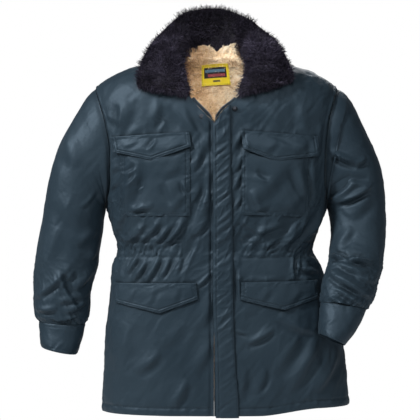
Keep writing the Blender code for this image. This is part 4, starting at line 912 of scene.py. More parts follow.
def in_rows(name, tree, places, alongs, ups):
    """A plain mesh of the tree's shape at each place, each with its own way along and up."""
    mesh = add_mesh(name + "_places", places, [])
    for kind, values in (("along", alongs), ("up", ups)):
        mesh.attributes.new(kind, "FLOAT_VECTOR", "POINT").data.foreach_set("vector", values.ravel())
    carrier = add_object(name + "_places", mesh)
    piece = grown(name, carrier, tree, {"Size": 1.0})
    bpy.data.objects.remove(carrier)
    return piece


stitch_tree = row_tree("stitch_rows", stitch, thread)


def sewn(name, grid, away, runs):
    """Rows of stitches on a grid: each run is a path of (row, column) places, some fractional.

    away is a direction on the outer side of the grid at its middle, or None for a tube.
    """
    outward = grid - grid.mean(axis=1, keepdims=True) if away is None else np.asarray(away, float)
    normal = turned_to(grid_normals(grid), outward)
    places, alongs, ups = [], [], []
    for rows, columns in runs:
        rows = np.clip(rows, 0, grid.shape[0] - 1.001)
        columns = np.clip(columns, 0, grid.shape[1] - 1.001)
        i, j = rows.astype(int), columns.astype(int)
        u, v = (rows - i)[:, None], (columns - j)[:, None]

        def between(field):
            return ((1 - u) * (1 - v) * field[i, j] + (1 - u) * v * field[i, j + 1]
                    + u * (1 - v) * field[i + 1, j] + u * v * field[i + 1, j + 1])

        route, over = between(grid), between(normal)
        length = lengths_along(route)
        count = max(int(length[-1] / STITCH_PITCH), 1)
        at = (np.arange(count) + 0.5) * length[-1] / count
        up = read_route(at, length, over)
        places.append(read_route(at, length, route) + up * STITCH_TALL * 0.3)
        alongs.append(read_route(at + 0.001, length, route) - read_route(at - 0.001, length, route))
        ups.append(up)
    return in_rows(name, stitch_tree, *(np.concatenate(part) for part in (places, alongs, ups)))


def level_run(levels, at, from_column, to_column):
    """A path across a panel at one height."""
    columns = np.linspace(from_column, to_column, 300)
    return np.full(300, np.interp(at, levels, np.arange(len(levels)))), columns


def armhole_run(lengths, inset):
    """A path beside the armhole seam, from the armpit to the shoulder."""
    rows = np.arange(LOW_ROWS, len(lengths) - 1, dtype=float)
    return rows, (1 - inset / lengths[LOW_ROWS:-1]) * (PANEL_COLUMNS - 1)


def gather_runs(inside):
    """The two stitch lines of the waist tunnel, where it is gathered."""
    runs = []
    for at in (TUNNEL_TOP_Z, TUNNEL_LOW_Z):
        row = int(np.argmin(np.abs(np.array(PANEL_LEVELS) - at)))
        held = np.flatnonzero(inside[row] > 0.3)
        if len(held) > 3:
            runs.append((np.full(200, float(row)), np.linspace(held[0], held[-1], 200)))
    return runs


def row_distance(grid):
    """Distance of each place from its row's start, along the cloth."""
    steps = np.linalg.norm(np.diff(grid, axis=1), axis=2)
    return np.concatenate([np.zeros((grid.shape[0], 1)), np.cumsum(steps, axis=1)], axis=1)


def dressed_half(side, face):
    """A half panel's plain grid, its lifted outer skin, and where each place is when flat."""
    grid, lengths = panel_grid(side, face)
    normal = turned_to(grid_normals(grid), grid * np.array([1, 1, 0]) + np.array([0, 0, 0.001]))
    along = row_distance(grid)
    to_seam = lengths[:, None] - along
    to_seam[:, -1] = 0
    outer = grid + normal * panel_lift(face, grid, along * side, to_seam)[..., None]
    heights = lengths_along(grid[:, 30])
    return grid, normal, outer, along * side, np.repeat(heights[:, None], PANEL_COLUMNS, 1), lengths


ARMHOLE_STITCH = 0.0055
armhole = {}
front_edge = {}
for side in (-1, 1):
    grid, normal, outer, flat_u, flat_v, lengths = dressed_half(side, -1)
    armhole[side, -1] = grid[LOW_ROWS - 1:, -1]
    front_edge[side] = (grid[LOW_ROWS + ARMHOLE_ROWS - 1:, 0], normal[LOW_ROWS + ARMHOLE_ROWS - 1:, 0])
    inner = (grid - normal * BODY_WALL)[::4, ::4]
    panel = cloth("front_" + side_name(side) + "_cloth", hang(outer), hang(inner), flat_u, flat_v,
                  [SHELL, INSIDE_PILE])
    inside, _ = waist_gathers(grid[..., 0], grid[..., 2], flat_u)
    runs = [level_run(PANEL_LEVELS, HEM_Z + HEM_BAND, 1, PANEL_COLUMNS - 1)]
    runs += [armhole_run(lengths, ARMHOLE_STITCH)] + gather_runs(inside)
    seams = sewn("front_" + side_name(side) + "_stitches", hang(outer), (0, -1, 0), runs)
    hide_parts("front_" + side_name(side))

halves = []
for side in (-1, 1):
    grid, normal, outer, flat_u, flat_v, lengths = dressed_half(side, 1)
    armhole[side, 1] = grid[LOW_ROWS - 1:, -1]
    halves.append([grid, normal, outer, flat_u, flat_v])
grid, normal, outer, flat_u, flat_v = (np.concatenate([r[:, ::-1], l[:, 1:]], axis=1)
                                       for r, l in zip(*halves))
inner = (grid - normal * BODY_WALL)[::4, ::4]
panel = cloth("back_cloth", hang(outer), hang(inner), flat_u, flat_v, [SHELL, INSIDE_PILE])
inside, _ = waist_gathers(grid[..., 0], grid[..., 2], flat_u)
held = [(rows, columns) for half in (inside * (grid[..., 0] < 0), inside * (grid[..., 0] > 0))
        for rows, columns in gather_runs(half)]
seams = sewn("back_stitches", hang(outer), (0, 1, 0),
             [level_run(PANEL_LEVELS, HEM_Z + HEM_BAND, 1, grid.shape[1] - 2)] + held)
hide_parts("back")


# The sleeves: tubes of the same padded nylon, set into the armholes and gathered into the
# cuff bands. The right one hangs down, the left one bends forward at the elbow. Each ring
# of the table gives its outer and inner ends, its middle's depth and its own half-depth.
Ring = namedtuple("Ring", "outer_x outer_z inner_x inner_z y deep dip")
SLEEVE_RIGHT = table(
    Ring,
    (-0.27, -0.07, -0.243, -0.335, 0.002, 0.0735, 0.0),
    (-0.287, -0.091, -0.2442, -0.3357, 0.003, 0.0745, 0.0),
    (-0.304, -0.1165, -0.2446, -0.337, 0.004, 0.075, 0.0),
    (-0.322, -0.146, -0.245, -0.339, 0.004, 0.0755, 0.0),
    (-0.338, -0.173, -0.2455, -0.3415, 0.003, 0.076, 0.0),
    (-0.3535, -0.2065, -0.2462, -0.345, 0.003, 0.0765, 0.0),
    (-0.367, -0.2495, -0.2472, -0.35, 0.002, 0.076, 0.0),
    (-0.376, -0.29, -0.2485, -0.357, 0.001, 0.075, 0.0),
    (-0.382, -0.328, -0.25, -0.366, 0.0, 0.074, 0.0),
    (-0.388, -0.365, -0.252, -0.388, -0.001, 0.072, 0.0),
    (-0.393, -0.397, -0.2555, -0.412, -0.003, 0.07, 0.001),
    (-0.399, -0.43, -0.26, -0.441, -0.005, 0.068, 0.002),
    (-0.403, -0.465, -0.265, -0.472, -0.008, 0.066, 0.003),
    (-0.405, -0.5, -0.273, -0.503, -0.011, 0.063, 0.004),
    (-0.405, -0.53, -0.279, -0.53, -0.014, 0.06, 0.005),
    (-0.404, -0.558, -0.28, -0.557, -0.018, 0.056, 0.006),
    (-0.401, -0.578, -0.282, -0.58, -0.021, 0.05, 0.007),
    (-0.3935, -0.59, -0.288, -0.5965, -0.023, 0.0425, 0.008),
    (-0.392, -0.612, -0.294, -0.6235, -0.026, 0.0435, 0.008),
    (-0.39, -0.632, -0.301, -0.647, -0.03, 0.045, 0.008),
    (-0.3873, -0.648, -0.307, -0.665, -0.033, 0.046, 0.008),
)
SLEEVE_LEFT = table(
    Ring,
    (0.276, -0.07, 0.25, -0.335, 0.002, 0.0735, 0.0),
    (0.29, -0.081, 0.2512, -0.3357, 0.003, 0.0745, 0.0),
    (0.303, -0.095, 0.2516, -0.337, 0.004, 0.075, 0.0),
    (0.316, -0.1175, 0.252, -0.339, 0.003, 0.0755, 0.0),
    (0.331, -0.1505, 0.2526, -0.3415, 0.002, 0.076, 0.0),
    (0.347, -0.185, 0.2534, -0.3445, 0.001, 0.0765, 0.0),
    (0.362, -0.219, 0.2544, -0.3485, -0.001, 0.076, 0.0),
    (0.374, -0.257, 0.2556, -0.3535, -0.003, 0.075, 0.0),
    (0.38, -0.295, 0.2568, -0.36, -0.005, 0.073, 0.0),
    (0.3825, -0.334, 0.258, -0.369, -0.008, 0.071, 0.0),
    (0.383, -0.362, 0.2588, -0.38, -0.013, 0.069, 0.0),
    (0.382, -0.391, 0.259, -0.396, -0.021, 0.066, 0.0),
    (0.379, -0.418, 0.257, -0.416, -0.033, 0.063, 0.001),
    (0.374, -0.443, 0.253, -0.437, -0.048, 0.06, 0.002),
    (0.368, -0.468, 0.25, -0.458, -0.066, 0.058, 0.003),
    (0.359, -0.494, 0.242, -0.483, -0.086, 0.056, 0.005),
    (0.349, -0.52, 0.233, -0.508, -0.106, 0.054, 0.007),
    (0.339, -0.543, 0.23, -0.528, -0.118, 0.05, 0.009),
    (0.327, -0.56, 0.228, -0.543, -0.126, 0.045, 0.01),
    (0.314, -0.586, 0.2255, -0.566, -0.134, 0.0465, 0.008),
    (0.298, -0.611, 0.2235, -0.588, -0.14, 0.048, 0.005),
    (0.2785, -0.636, 0.2215, -0.6095, -0.144, 0.0495, 0.002),
)
SLEEVES = {-1: SLEEVE_RIGHT, 1: SLEEVE_LEFT}
CUFF_RINGS = 3
CUFF_GAP_RINGS = 0.03
SLEEVE_WALL = 0.0035
SLEEVE_POWER = 2.2
SCYE_FADE_RINGS = 6.0
SLEEVE_COLUMNS = 176
SLEEVE_SOFT = {
    -1: [Folds(0.0006, 0.13, 0.040, 60, 20.0), Folds(0.0006, 0.05, 0.015, 60, 32.0)],
    1: [Folds(0.0008, 0.13, 0.040, -15, 22.0), Folds(0.0006, 0.05, 0.015, -15, 34.0)],
}
SLEEVE_SHARP = {
    -1: [Folds(0.0016, 0.09, 0.030, -60, 50.0), Folds(0.0011, 0.04, 0.012, -60, 60.0)],
    1: [Folds(0.0024, 0.09, 0.030, 15, 52.0), Folds(0.0011, 0.04, 0.012, 15, 62.0)],
}
SLEEVE_GATHERS = Folds(0.0010, 0.05, 0.05, 0, 41.0)
SLEEVE_GATHER_STEP = 0.017
SLEEVE_GATHER_REACH = 0.016
CUFF_SEAM = Groove(0.004, 0.0020)
SLEEVE_SMOOTH_ABOVE_Z = {-1: -0.42, 1: -0.415}
SLEEVE_ROWS_A_RING = 13

SLEEVE_CREASES = {
    -1: table(
        Crease,
        (-0.262, -0.3, -0.296, -0.34, 0.006, 0.003),
        (-0.33, -0.16, -0.3, -0.25, 0.022, 0.0045),
        (-0.34, -0.31, -0.285, -0.38, 0.024, 0.0035),
        (-0.262, -0.385, -0.31, -0.42, 0.012, 0.0045),
        (-0.253, -0.415, -0.282, -0.456, 0.008, 0.0045),
        (-0.35, -0.38, -0.385, -0.47, 0.02, 0.0035),
        (-0.31, -0.472, -0.35, -0.516, 0.009, 0.0055),
        (-0.27, -0.47, -0.31, -0.52, 0.009, 0.0055),
        (-0.4, -0.54, -0.316, -0.462, 0.008, 0.0062),
        (-0.336, -0.47, -0.298, -0.556, 0.008, -0.006),
        (-0.35, -0.545, -0.285, -0.528, 0.008, 0.004),
        (-0.285, -0.545, -0.33, -0.57, 0.008, 0.0055),
        (-0.345, -0.56, -0.398, -0.562, 0.008, 0.005),
        (-0.3, -0.574, -0.352, -0.588, 0.006, 0.0045),
    ),
    1: table(
        Crease,
        (0.25, -0.212, 0.316, -0.243, 0.008, 0.0095),
        (0.308, -0.244, 0.334, -0.23, 0.007, 0.006),
        (0.242, -0.314, 0.3, -0.268, 0.012, -0.01),
        (0.29, -0.27, 0.338, -0.276, 0.009, -0.005),
        (0.262, -0.33, 0.348, -0.287, 0.008, 0.008),
        (0.34, -0.31, 0.29, -0.36, 0.016, 0.004),
        (0.3, -0.38, 0.262, -0.424, 0.01, 0.0045),
        (0.243, -0.431, 0.334, -0.446, 0.0065, -0.0075),
        (0.242, -0.44, 0.284, -0.447, 0.006, 0.006),
        (0.28, -0.437, 0.344, -0.461, 0.0065, 0.0085),
        (0.262, -0.456, 0.33, -0.48, 0.0075, 0.006),
        (0.242, -0.47, 0.306, -0.514, 0.009, 0.006),
        (0.271, -0.489, 0.338, -0.53, 0.008, 0.0062),
        (0.3, -0.48, 0.352, -0.5, 0.007, 0.0048),
        (0.244, -0.528, 0.304, -0.56, 0.006, 0.0058),
        (0.26, -0.51, 0.322, -0.548, 0.007, 0.005),
        (0.228, -0.485, 0.238, -0.512, 0.005, 0.006),
    ),
}
SLEEVE_BACK_CREASES = {
    -1: table(
        Crease,
        (-0.27, -0.2, -0.33, -0.26, 0.016, 0.006),
        (-0.26, -0.35, -0.35, -0.39, 0.014, 0.006),
        (-0.275, -0.42, -0.37, -0.455, 0.012, 0.0065),
        (-0.285, -0.48, -0.385, -0.5, 0.011, 0.006),
        (-0.29, -0.535, -0.38, -0.56, 0.009, 0.006),
    ),
    1: table(
        Crease,
        (0.268, -0.19, 0.33, -0.24, 0.016, 0.006),
        (0.262, -0.33, 0.36, -0.3, 0.014, 0.006),
        (0.262, -0.42, 0.372, -0.38, 0.014, 0.0065),
        (0.256, -0.455, 0.37, -0.44, 0.011, 0.006),
        (0.245, -0.5, 0.345, -0.51, 0.01, 0.006),
    ),
}


def tube_grid(rings, t, angle):
    """Places of a tube at ring places t and at angles round it, 0 at its outer side."""
    keys = np.arange(len(rings))

    def column(name, at):
        return smooth(keys, [getattr(r, name) for r in rings], at)

    def middle_at(at):
        return np.stack([(column("outer_x", at) + column("inner_x", at)) / 2, column("y", at),
                         (column("outer_z", at) + column("inner_z", at)) / 2], axis=-1)

    middle = middle_at(t)
    outward = np.stack([(column("outer_x", t) - column("inner_x", t)) / 2, np.zeros_like(t),
                        (column("outer_z", t) - column("inner_z", t)) / 2], axis=-1)
    axis = middle_at(np.minimum(t + 0.5, keys[-1])) - middle_at(np.maximum(t - 0.5, 0))
    forward = np.cross(axis, outward)
    forward /= np.linalg.norm(forward, axis=-1, keepdims=True)
    forward *= np.where(forward[:, 1:2] > 0, -1, 1) * column("deep", t)[:, None]
    forward[:, 2] -= column("dip", t)
    c = signed_power(np.cos(angle), 2 / SLEEVE_POWER)
    s = signed_power(np.sin(angle), 2 / SLEEVE_POWER)
    return (middle[:, None] + outward[:, None] * c[None, :, None]
            + forward[:, None] * s[None, :, None])


def armhole_offset(side, angle):
    """How far the armhole seam lies from the sleeve's first plain ring, at each angle."""
    places, turns = [], []
    for face in (-1, 1):
        seam = armhole[side, face]
        turn = np.arccos(np.clip((seam[:, 2] - scye_middle) / scye_half, -1, 1))
        places.append(seam)
        turns.append(turn if face < 0 else 2 * math.pi - turn)
    places, turns = np.concatenate(places), np.concatenate(turns)
    order = np.argsort(turns)
    places, turns = places[order], turns[order]
    on_seam = read_route(angle, turns, places, period=2 * math.pi)
    on_seam[:, 0] += side * SEAM_GAP
    return on_seam - tube_grid(SLEEVES[side], np.array([0.0]), angle)[0]


def outward_normals(grid):
    """Normals of a tube, turned to point away from the middle of each ring."""
    return turned_to(grid_normals(grid, closed=True), grid - grid.mean(axis=1, keepdims=True))


def round_the_tube(grid):
    """Distance of each place round its ring, and of each ring down the tube."""
    steps = np.linalg.norm(np.roll(grid, -1, 1) - grid, axis=2)
    around = np.cumsum(steps, axis=1) - steps
    down = lengths_along(grid.mean(axis=1))
    return around, np.repeat(down[:, None], grid.shape[1], 1)


for side in (-1, 1):
    rings = SLEEVES[side]
    last = len(rings) - 1 - CUFF_RINGS
    t = np.linspace(0, last, last * SLEEVE_ROWS_A_RING + 1)
    angle = np.linspace(0, 2 * math.pi, SLEEVE_COLUMNS, endpoint=False)
    fade = np.clip(1 - t / SCYE_FADE_RINGS, 0, 1) ** 2
    grid = tube_grid(rings, t, angle) + armhole_offset(side, angle)[None] * fade[:, None, None]
    normal = outward_normals(grid)
    around, down = round_the_tube(grid)
    x, z = grid[..., 0], grid[..., 2]
    facing = normal[..., 1]
    front, behind = ease(0.1, 0.6, -facing), ease(0.1, 0.6, facing)
    lift = front * crease_height(SLEEVE_CREASES[side], x, z)
    lift += behind * crease_height(SLEEVE_BACK_CREASES[side], x, z)
    lower = 0.15 + 0.85 * (1 - ease(-0.06, 0.0, z - SLEEVE_SMOOTH_ABOVE_Z[side]))
    for folds in SLEEVE_SOFT[side]:
        lift += soft_folds(grid, folds)
    for folds in SLEEVE_SHARP[side]:
        lift += lower * sharp_folds(grid, folds)
    to_cuff = down[-1:] - down
    sway = 3 * crumple(grid, SLEEVE_GATHERS, side)
    gathers = np.sin(2 * math.pi * around / SLEEVE_GATHER_STEP + sway)
    lift += SLEEVE_GATHERS.height * gathers * near(to_cuff, SLEEVE_GATHER_REACH)
    lift *= ease(-0.004, 0.020, down)
    lift -= SEAM_DIP * near(down, SEAM_DIP_WIDTH)
    lift += groove(to_cuff, CUFF_SEAM)
    outer = grid + normal * lift[..., None]
    inner = (grid - normal * SLEEVE_WALL)[::6, ::4]
    if (len(t) - 1) % 6:
        inner = np.concatenate([inner, (grid - normal * SLEEVE_WALL)[-1:, ::4]])
    sleeve = cloth("sleeve_" + side_name(side) + "_cloth", outer, inner, around, down,
                   [SHELL, SHELL], closed=True)
    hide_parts("sleeve_" + side_name(side))


# The cuff bands: plain folded bands of the shell cloth, sewn round the sleeve ends and
# topstitched along both edges, so that they pucker a little between the two lines.
CUFF_WALL = 0.003
CUFF_ROWS = 31
CUFF_STITCH_IN = 0.006
CUFF_GROOVE = Groove(0.0016, 0.0008)
CUFF_ROLL = Groove(0.0022, 0.0014)
CUFF_SOFT = Folds(0.0008, 0.02, 0.016, 70, 51.0)
CUFF_PUCKER = Folds(0.0005, 0.007, 0.010, 90, 57.0)
for side in (-1, 1):
    rings = SLEEVES[side]
    last = len(rings) - 1
    t = np.linspace(last - CUFF_RINGS + CUFF_GAP_RINGS, last, CUFF_ROWS)
    grid = tube_grid(rings, t, angle)
    normal = outward_normals(grid)
    around, down = round_the_tube(grid)
    to_end = down[-1:] - down
    lift = soft_folds(grid, CUFF_SOFT, side)
    for away in (down - CUFF_STITCH_IN, to_end - CUFF_STITCH_IN):
        lift += groove(away, CUFF_GROOVE)
        lift += soft_folds(grid, CUFF_PUCKER, side) * near(away, 0.005)
    lift += groove(np.minimum(down, to_end), CUFF_ROLL)
    outer = grid + normal * lift[..., None]
    inner = (grid - normal * CUFF_WALL)[::6, ::4]
    cuff = cloth("cuff_" + side_name(side) + "_cloth", outer, inner, around, down, [SHELL, SHELL],
                 closed=True)
    round_runs = [(np.full(400, float(np.interp(at, down[:, 0], np.arange(len(down))))),
                   np.linspace(0, SLEEVE_COLUMNS - 1, 400))
                  for at in (CUFF_STITCH_IN, down[-1, 0] - CUFF_STITCH_IN)]
    seams = sewn("cuff_" + side_name(side) + "_stitches", outer, None, round_runs)
    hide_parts("cuff_" + side_name(side))


# The chest pockets, their flaps and the lower flaps: patches of the same nylon laid on the
# fronts. Each has a turned edge and two rows of topstitching, and lifts a little between.
Corner = namedtuple("Corner", "x z")
LAY_GAP = 0.0008
Patch = namedtuple("Patch", "name corners tip thick over puff seed flat")
PATCHES = [
    Patch("chest_pocket_right", [Corner(-0.2055, -0.214), Corner(-0.0545, -0.210), Corner(-0.0545, -0.357),
                                 Corner(-0.2055, -0.357)], None, 0.0025, LAY_GAP, 0.0045, 1, (0.17, 0.16)),
    Patch("chest_pocket_left", [Corner(0.0575, -0.210), Corner(0.2125, -0.214), Corner(0.2045, -0.359),
                                Corner(0.0575, -0.354)], None, 0.0025, LAY_GAP, 0.0045, 2, (0.17, 0.16)),
    Patch("chest_flap_right", [Corner(-0.227, -0.1835), Corner(-0.056, -0.1740), Corner(-0.0515, -0.207),
                               Corner(-0.215, -0.218)], Corner(-0.136, -0.2365), 0.003, 0.0062, 0.0012, 3,
          (0.18, 0.060)),
    Patch("chest_flap_left", [Corner(0.0555, -0.1705), Corner(0.223, -0.182), Corner(0.223, -0.2255),
                              Corner(0.0605, -0.2115)], Corner(0.1315, -0.2385), 0.003, 0.0062, 0.0012, 4,
          (0.18, 0.060)),
    Patch("lower_flap_right", [Corner(-0.2195, -0.504), Corner(-0.041, -0.5015), Corner(-0.037, -0.5375),
                               Corner(-0.2165, -0.547)], Corner(-0.1195, -0.568), 0.003, LAY_GAP + 0.0012,
          0.0014, 5, (0.20, 0.066)),
    Patch("lower_flap_left", [Corner(0.0565, -0.5005), Corner(0.2235, -0.498), Corner(0.2275, -0.537),
                              Corner(0.0555, -0.539)], Corner(0.151, -0.562), 0.003, LAY_GAP + 0.0012,
          0.0014, 6, (0.20, 0.066)),
]
PATCH_COLUMNS = 101
PATCH_ROWS = 61
PATCH_STITCH_IN = (0.0026, 0.0078)
PATCH_GROOVE = Groove(0.0014, 0.0013)
Rim = namedtuple("Rim", "width height")
PATCH_RIM = Rim(0.0016, 0.0008)
PATCH_SOFT = {"right": Folds(0.0011, 0.06, 0.022, 35, 60.0), "left": Folds(0.0011, 0.06, 0.022, -30, 60.0)}
PATCH_TIGHT = {True: Folds(0.0008, 0.016, 0.007, 25, 70.0), False: Folds(0.0013, 0.016, 0.007, 25, 70.0)}
PATCH_CREASES = table(
    Crease,
    (-0.168, -0.238, -0.198, -0.33, 0.014, 0.0055),
    (-0.196, -0.262, -0.172, -0.246, 0.006, -0.0034),
    (-0.198, -0.29, -0.172, -0.262, 0.006, -0.0034),
    (-0.186, -0.346, -0.15, -0.334, 0.007, 0.004),
    (-0.08, -0.33, -0.1, -0.28, 0.012, 0.0036),
    (-0.07, -0.28, -0.058, -0.31, 0.006, 0.0034),
    (-0.15, -0.212, -0.132, -0.186, 0.006, -0.0034),
    (0.078, -0.3, 0.104, -0.346, 0.01, 0.0045),
    (0.182, -0.25, 0.206, -0.322, 0.012, 0.0045),
    (0.09, -0.258, 0.116, -0.276, 0.008, -0.0036),
    (-0.188, -0.24, -0.198, -0.33, 0.01, 0.0034),
    (-0.16, -0.25, -0.2, -0.345, 0.014, 0.003),
    (-0.18, -0.344, -0.13, -0.332, 0.007, 0.0032),
    (-0.12, -0.27, -0.075, -0.245, 0.012, 0.0022),
    (-0.1, -0.345, -0.065, -0.31, 0.01, 0.0024),
    (0.072, -0.33, 0.15, -0.24, 0.02, 0.0034),
    (0.15, -0.345, 0.195, -0.3, 0.012, 0.0028),
    (0.08, -0.345, 0.12, -0.332, 0.007, 0.0024),
    (0.175, -0.24, 0.19, -0.3, 0.012, 0.0024),
    (-0.2, -0.205, -0.165, -0.19, 0.008, 0.0016),
    (-0.11, -0.222, -0.07, -0.192, 0.009, 0.0016),
    (0.1, -0.222, 0.135, -0.19, 0.01, 0.0018),
    (0.165, -0.218, 0.2, -0.195, 0.01, 0.0016),
    (-0.19, -0.545, -0.172, -0.512, 0.007, 0.0018),
    (-0.15, -0.555, -0.128, -0.512, 0.008, 0.0018),
    (-0.095, -0.552, -0.078, -0.51, 0.008, 0.0014),
    (0.09, -0.545, 0.12, -0.51, 0.01, 0.0018),
    (0.15, -0.552, 0.185, -0.515, 0.01, 0.0018),
)


def front_skin(x, z):
    """The fronts' plain outer skin at places seen from the front, with its normals."""
    step = 0.0005
    slope_x = (skin_y(-1, x + step, z) - skin_y(-1, x - step, z)) / (2 * step)
    slope_z = (skin_y(-1, x, z + step) - skin_y(-1, x, z - step)) / (2 * step)
    normal = np.stack([slope_x, -np.ones_like(x), slope_z], axis=-1)
    normal /= np.linalg.norm(normal, axis=-1, keepdims=True)
    return np.stack([x, skin_y(-1, x, z), z], axis=-1), normal


def corner_grid(corners, tip, rows, columns):
    """A four-cornered grid from its top edge down, with a point in its lower edge or none."""
    across = np.linspace(0, 1, columns)[None, :]
    down = np.linspace(0, 1, rows)[:, None]
    tl, tr, br, bl = corners
    top_x, top_z = tl.x + (tr.x - tl.x) * across, tl.z + (tr.z - tl.z) * across
    low_x, low_z = bl.x + (br.x - bl.x) * across, bl.z + (br.z - bl.z) * across
    if tip:
        at = (tip.x - bl.x) / (br.x - bl.x)
        line_z = bl.z + (br.z - bl.z) * at
        point = np.where(across < at, across / at, (1 - across) / (1 - at))
        low_z = low_z + (tip.z - line_z) * point
    return top_x + (low_x - top_x) * down, top_z + (low_z - top_z) * down


def edge_distance(x, z):
    """Distance of each place of a patch from its nearest side, and from its top."""
    wide = row_distance(np.stack([x, z, np.zeros_like(x)], axis=-1))
    tall = row_distance(np.stack([x.T, z.T, np.zeros_like(x.T)], axis=-1)).T
    left, right, top, low = wide, wide[:, -1:] - wide, tall, tall[-1:] - tall
    return np.minimum.reduce([left, right, low]), top, np.minimum.reduce([left, right, top, low])


def patch_runs(wide, tall, insets):
    """Paths down one side, along the foot and up the other side of a patch."""
    rows, columns = len(wide) - 1, len(tall) - 1
    runs = []
    for inset in insets:
        down = np.linspace(0, 1, 60)
        low = 1 - inset / tall
        r1 = down * low[0] * rows
        c1 = inset / np.interp(r1, np.arange(rows + 1), wide) * columns
        across = np.linspace(c1[-1], columns - c1[-1], 120)
        r2 = np.interp(across, np.arange(columns + 1), low) * rows
        runs.append((np.concatenate([r1, r2, r1[::-1]]), np.concatenate([c1, across, (columns - c1)[::-1]])))
    return runs


for patch in PATCHES:
    x, z = corner_grid(patch.corners, patch.tip, PATCH_ROWS, PATCH_COLUMNS)
    skin, normal = front_skin(x, z)
    sides, top, edge = edge_distance(x, z)
    is_flap = patch.tip is not None
    folds = crease_height(FRONT_CREASES, x, z)
    rise = patch.over * (ease(0, 0.035, top) if is_flap and patch.over > 0.005 else 1)
    base = skin + normal * (folds * 0.6 + np.maximum(rise, LAY_GAP) + 0.0010)[..., None]
    puff = patch.puff * np.sin(math.pi * np.linspace(0, 1, PATCH_COLUMNS))[None, :] * ease(0, 0.03, edge)
    side_word = "right" if patch.corners[0].x < 0 else "left"
    own = soft_folds(skin, PATCH_SOFT[side_word], patch.seed)
    lift = patch.thick * ease(-0.0012, 0.0026, edge) + puff + own * ease(0, 0.012, edge)
    for away in PATCH_STITCH_IN:
        stitch_line = np.where(is_flap, sides, edge) - away
        lift = lift + groove(stitch_line, PATCH_GROOVE)
    lift = lift + PATCH_RIM.height * near(edge, PATCH_RIM.width)
    lift = lift + soft_folds(skin, PATCH_TIGHT[is_flap], patch.seed) * near(edge, 0.012)
    lift = lift + crease_height(PATCH_CREASES, x, z) * ease(0, 0.010, edge)
    outer = base + normal * lift[..., None]
    inner = base[::4, ::4]
    flat_u = row_distance(skin)
    flat_v = top
    made = cloth(patch.name + "_cloth", hang(outer), hang(inner), flat_u, flat_v, [SHELL, SHELL])
    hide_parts(patch.name)
    seams = sewn(patch.name + "_stitches", hang(outer), (0, -1, 0),
                 patch_runs(flat_u[:, -1], top[-1], PATCH_STITCH_IN))


# The placket: a folded strip over the zip, sewn to the left front along its right edge and
# topstitched. Its padding draws it into short slanting puckers all the way down.
Strip = namedtuple("Strip", "z left right")
PLACKET = table(
    Strip,
    (-0.793, 0.0015, 0.052),
    (-0.757, 0.001, 0.051),
    (-0.682, 0.0, 0.0455),
    (-0.614, -0.002, 0.042),
    (-0.582, -0.004, 0.041),
    (-0.5, -0.0048, 0.04),
    (-0.409, -0.005, 0.0395),
    (-0.374, -0.0048, 0.039),
    (-0.314, -0.0044, 0.037),
    (-0.25, -0.005, 0.035),
    (-0.169, -0.0055, 0.0347),
    (-0.153, -0.0055, 0.0347),
)
PLACKET_THICK = 0.0035
PLACKET_LONG = 0.64
PLACKET_QUIET_Z = (-0.58, -0.66)
PLACKET_SETBACK = 0.0015
PLACKET_LEFT_STITCHES = (0.0028, 0.0080)
PLACKET_RIGHT_STITCH = 0.0030
PLACKET_LEFT_GROOVE = Groove(0.0015, 0.0013)
PLACKET_RIGHT_GROOVE = Groove(0.0015, 0.0010)
PLACKET_ROWS = 321
PLACKET_COLUMNS = 33
PLACKET_SOFT = Folds(0.0008, 0.03, 0.010, 35, 80.0)
PLACKET_SHARP = Folds(0.0014, 0.035, 0.011, 42, 85.0)
PUCKER_STEP = 0.026
PUCKER_HEIGHT = 0.0020

share = np.linspace(0, 1, PLACKET_COLUMNS)[None, :]
z = np.linspace(PLACKET[0].z, PLACKET[-1].z, PLACKET_ROWS)[:, None] * np.ones_like(share)
left = read(PLACKET, "z", "left", z)
x = left + (read(PLACKET, "z", "right", z) - left) * share
neck_heights = np.linspace(YOKE_Z, COLLAR_FRONT_END_Z, 60)
neck_places = read(NECK_EDGE, "z", "left", neck_heights)
slant = np.interp(x[-1] - PLACKET_SETBACK, neck_places, neck_heights) - PLACKET_SETBACK
above = ease(-0.215, PLACKET[-1].z, z)
z = z + above * (slant - PLACKET[-1].z)[None, :]
skin, normal = front_skin(x, z)
from_left, from_right = row_distance(skin), row_distance(skin)[:, -1:] - row_distance(skin)
edge = np.minimum(from_left, from_right)
lean = (x - x[:, :1]) * 0.75
pucker_place = (z - lean) / PUCKER_STEP
puckers = np.sin(2 * math.pi * (pucker_place + 1.3 * noise_at(pucker_place * 0.55, 4.4, 0)))
strength = 0.40 + 1.4 * noise_at(pucker_place * 0.8, 9.2, 0)
quiet = 1 - 0.75 * ease(*PLACKET_QUIET_Z, z)
lift = PLACKET_THICK * ease(-0.0012, 0.003, edge) + 0.0012 * np.sin(math.pi * share)
lift = lift + PUCKER_HEIGHT * puckers * np.clip(strength, 0.0, 1.2) * quiet * ease(0.001, 0.012, edge)
lift = lift + soft_folds(skin, PLACKET_SOFT)
lift = lift + sharp_folds(skin, PLACKET_SHARP) * quiet * ease(0.001, 0.010, edge)
for away in PLACKET_LEFT_STITCHES:
    lift = lift + groove(from_left - away, PLACKET_LEFT_GROOVE)
lift = lift + groove(from_right - PLACKET_RIGHT_STITCH, PLACKET_RIGHT_GROOVE)
base = skin + normal * (crease_height(FRONT_CREASES, x, z) * 0.5 + LAY_GAP + 0.0012)[..., None]
outer = base + normal * lift[..., None]
heights = np.repeat(np.linspace(0, PLACKET_LONG, PLACKET_ROWS)[:, None], PLACKET_COLUMNS, 1)
placket = cloth("placket_cloth", hang(outer), hang(base[::4, ::4]), from_left, heights, [SHELL, SHELL])
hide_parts("placket")
rows = np.arange(PLACKET_ROWS, dtype=float)
insets = [np.full(PLACKET_ROWS, inset) for inset in PLACKET_LEFT_STITCHES]
insets.append(from_left[:, -1] - PLACKET_RIGHT_STITCH)
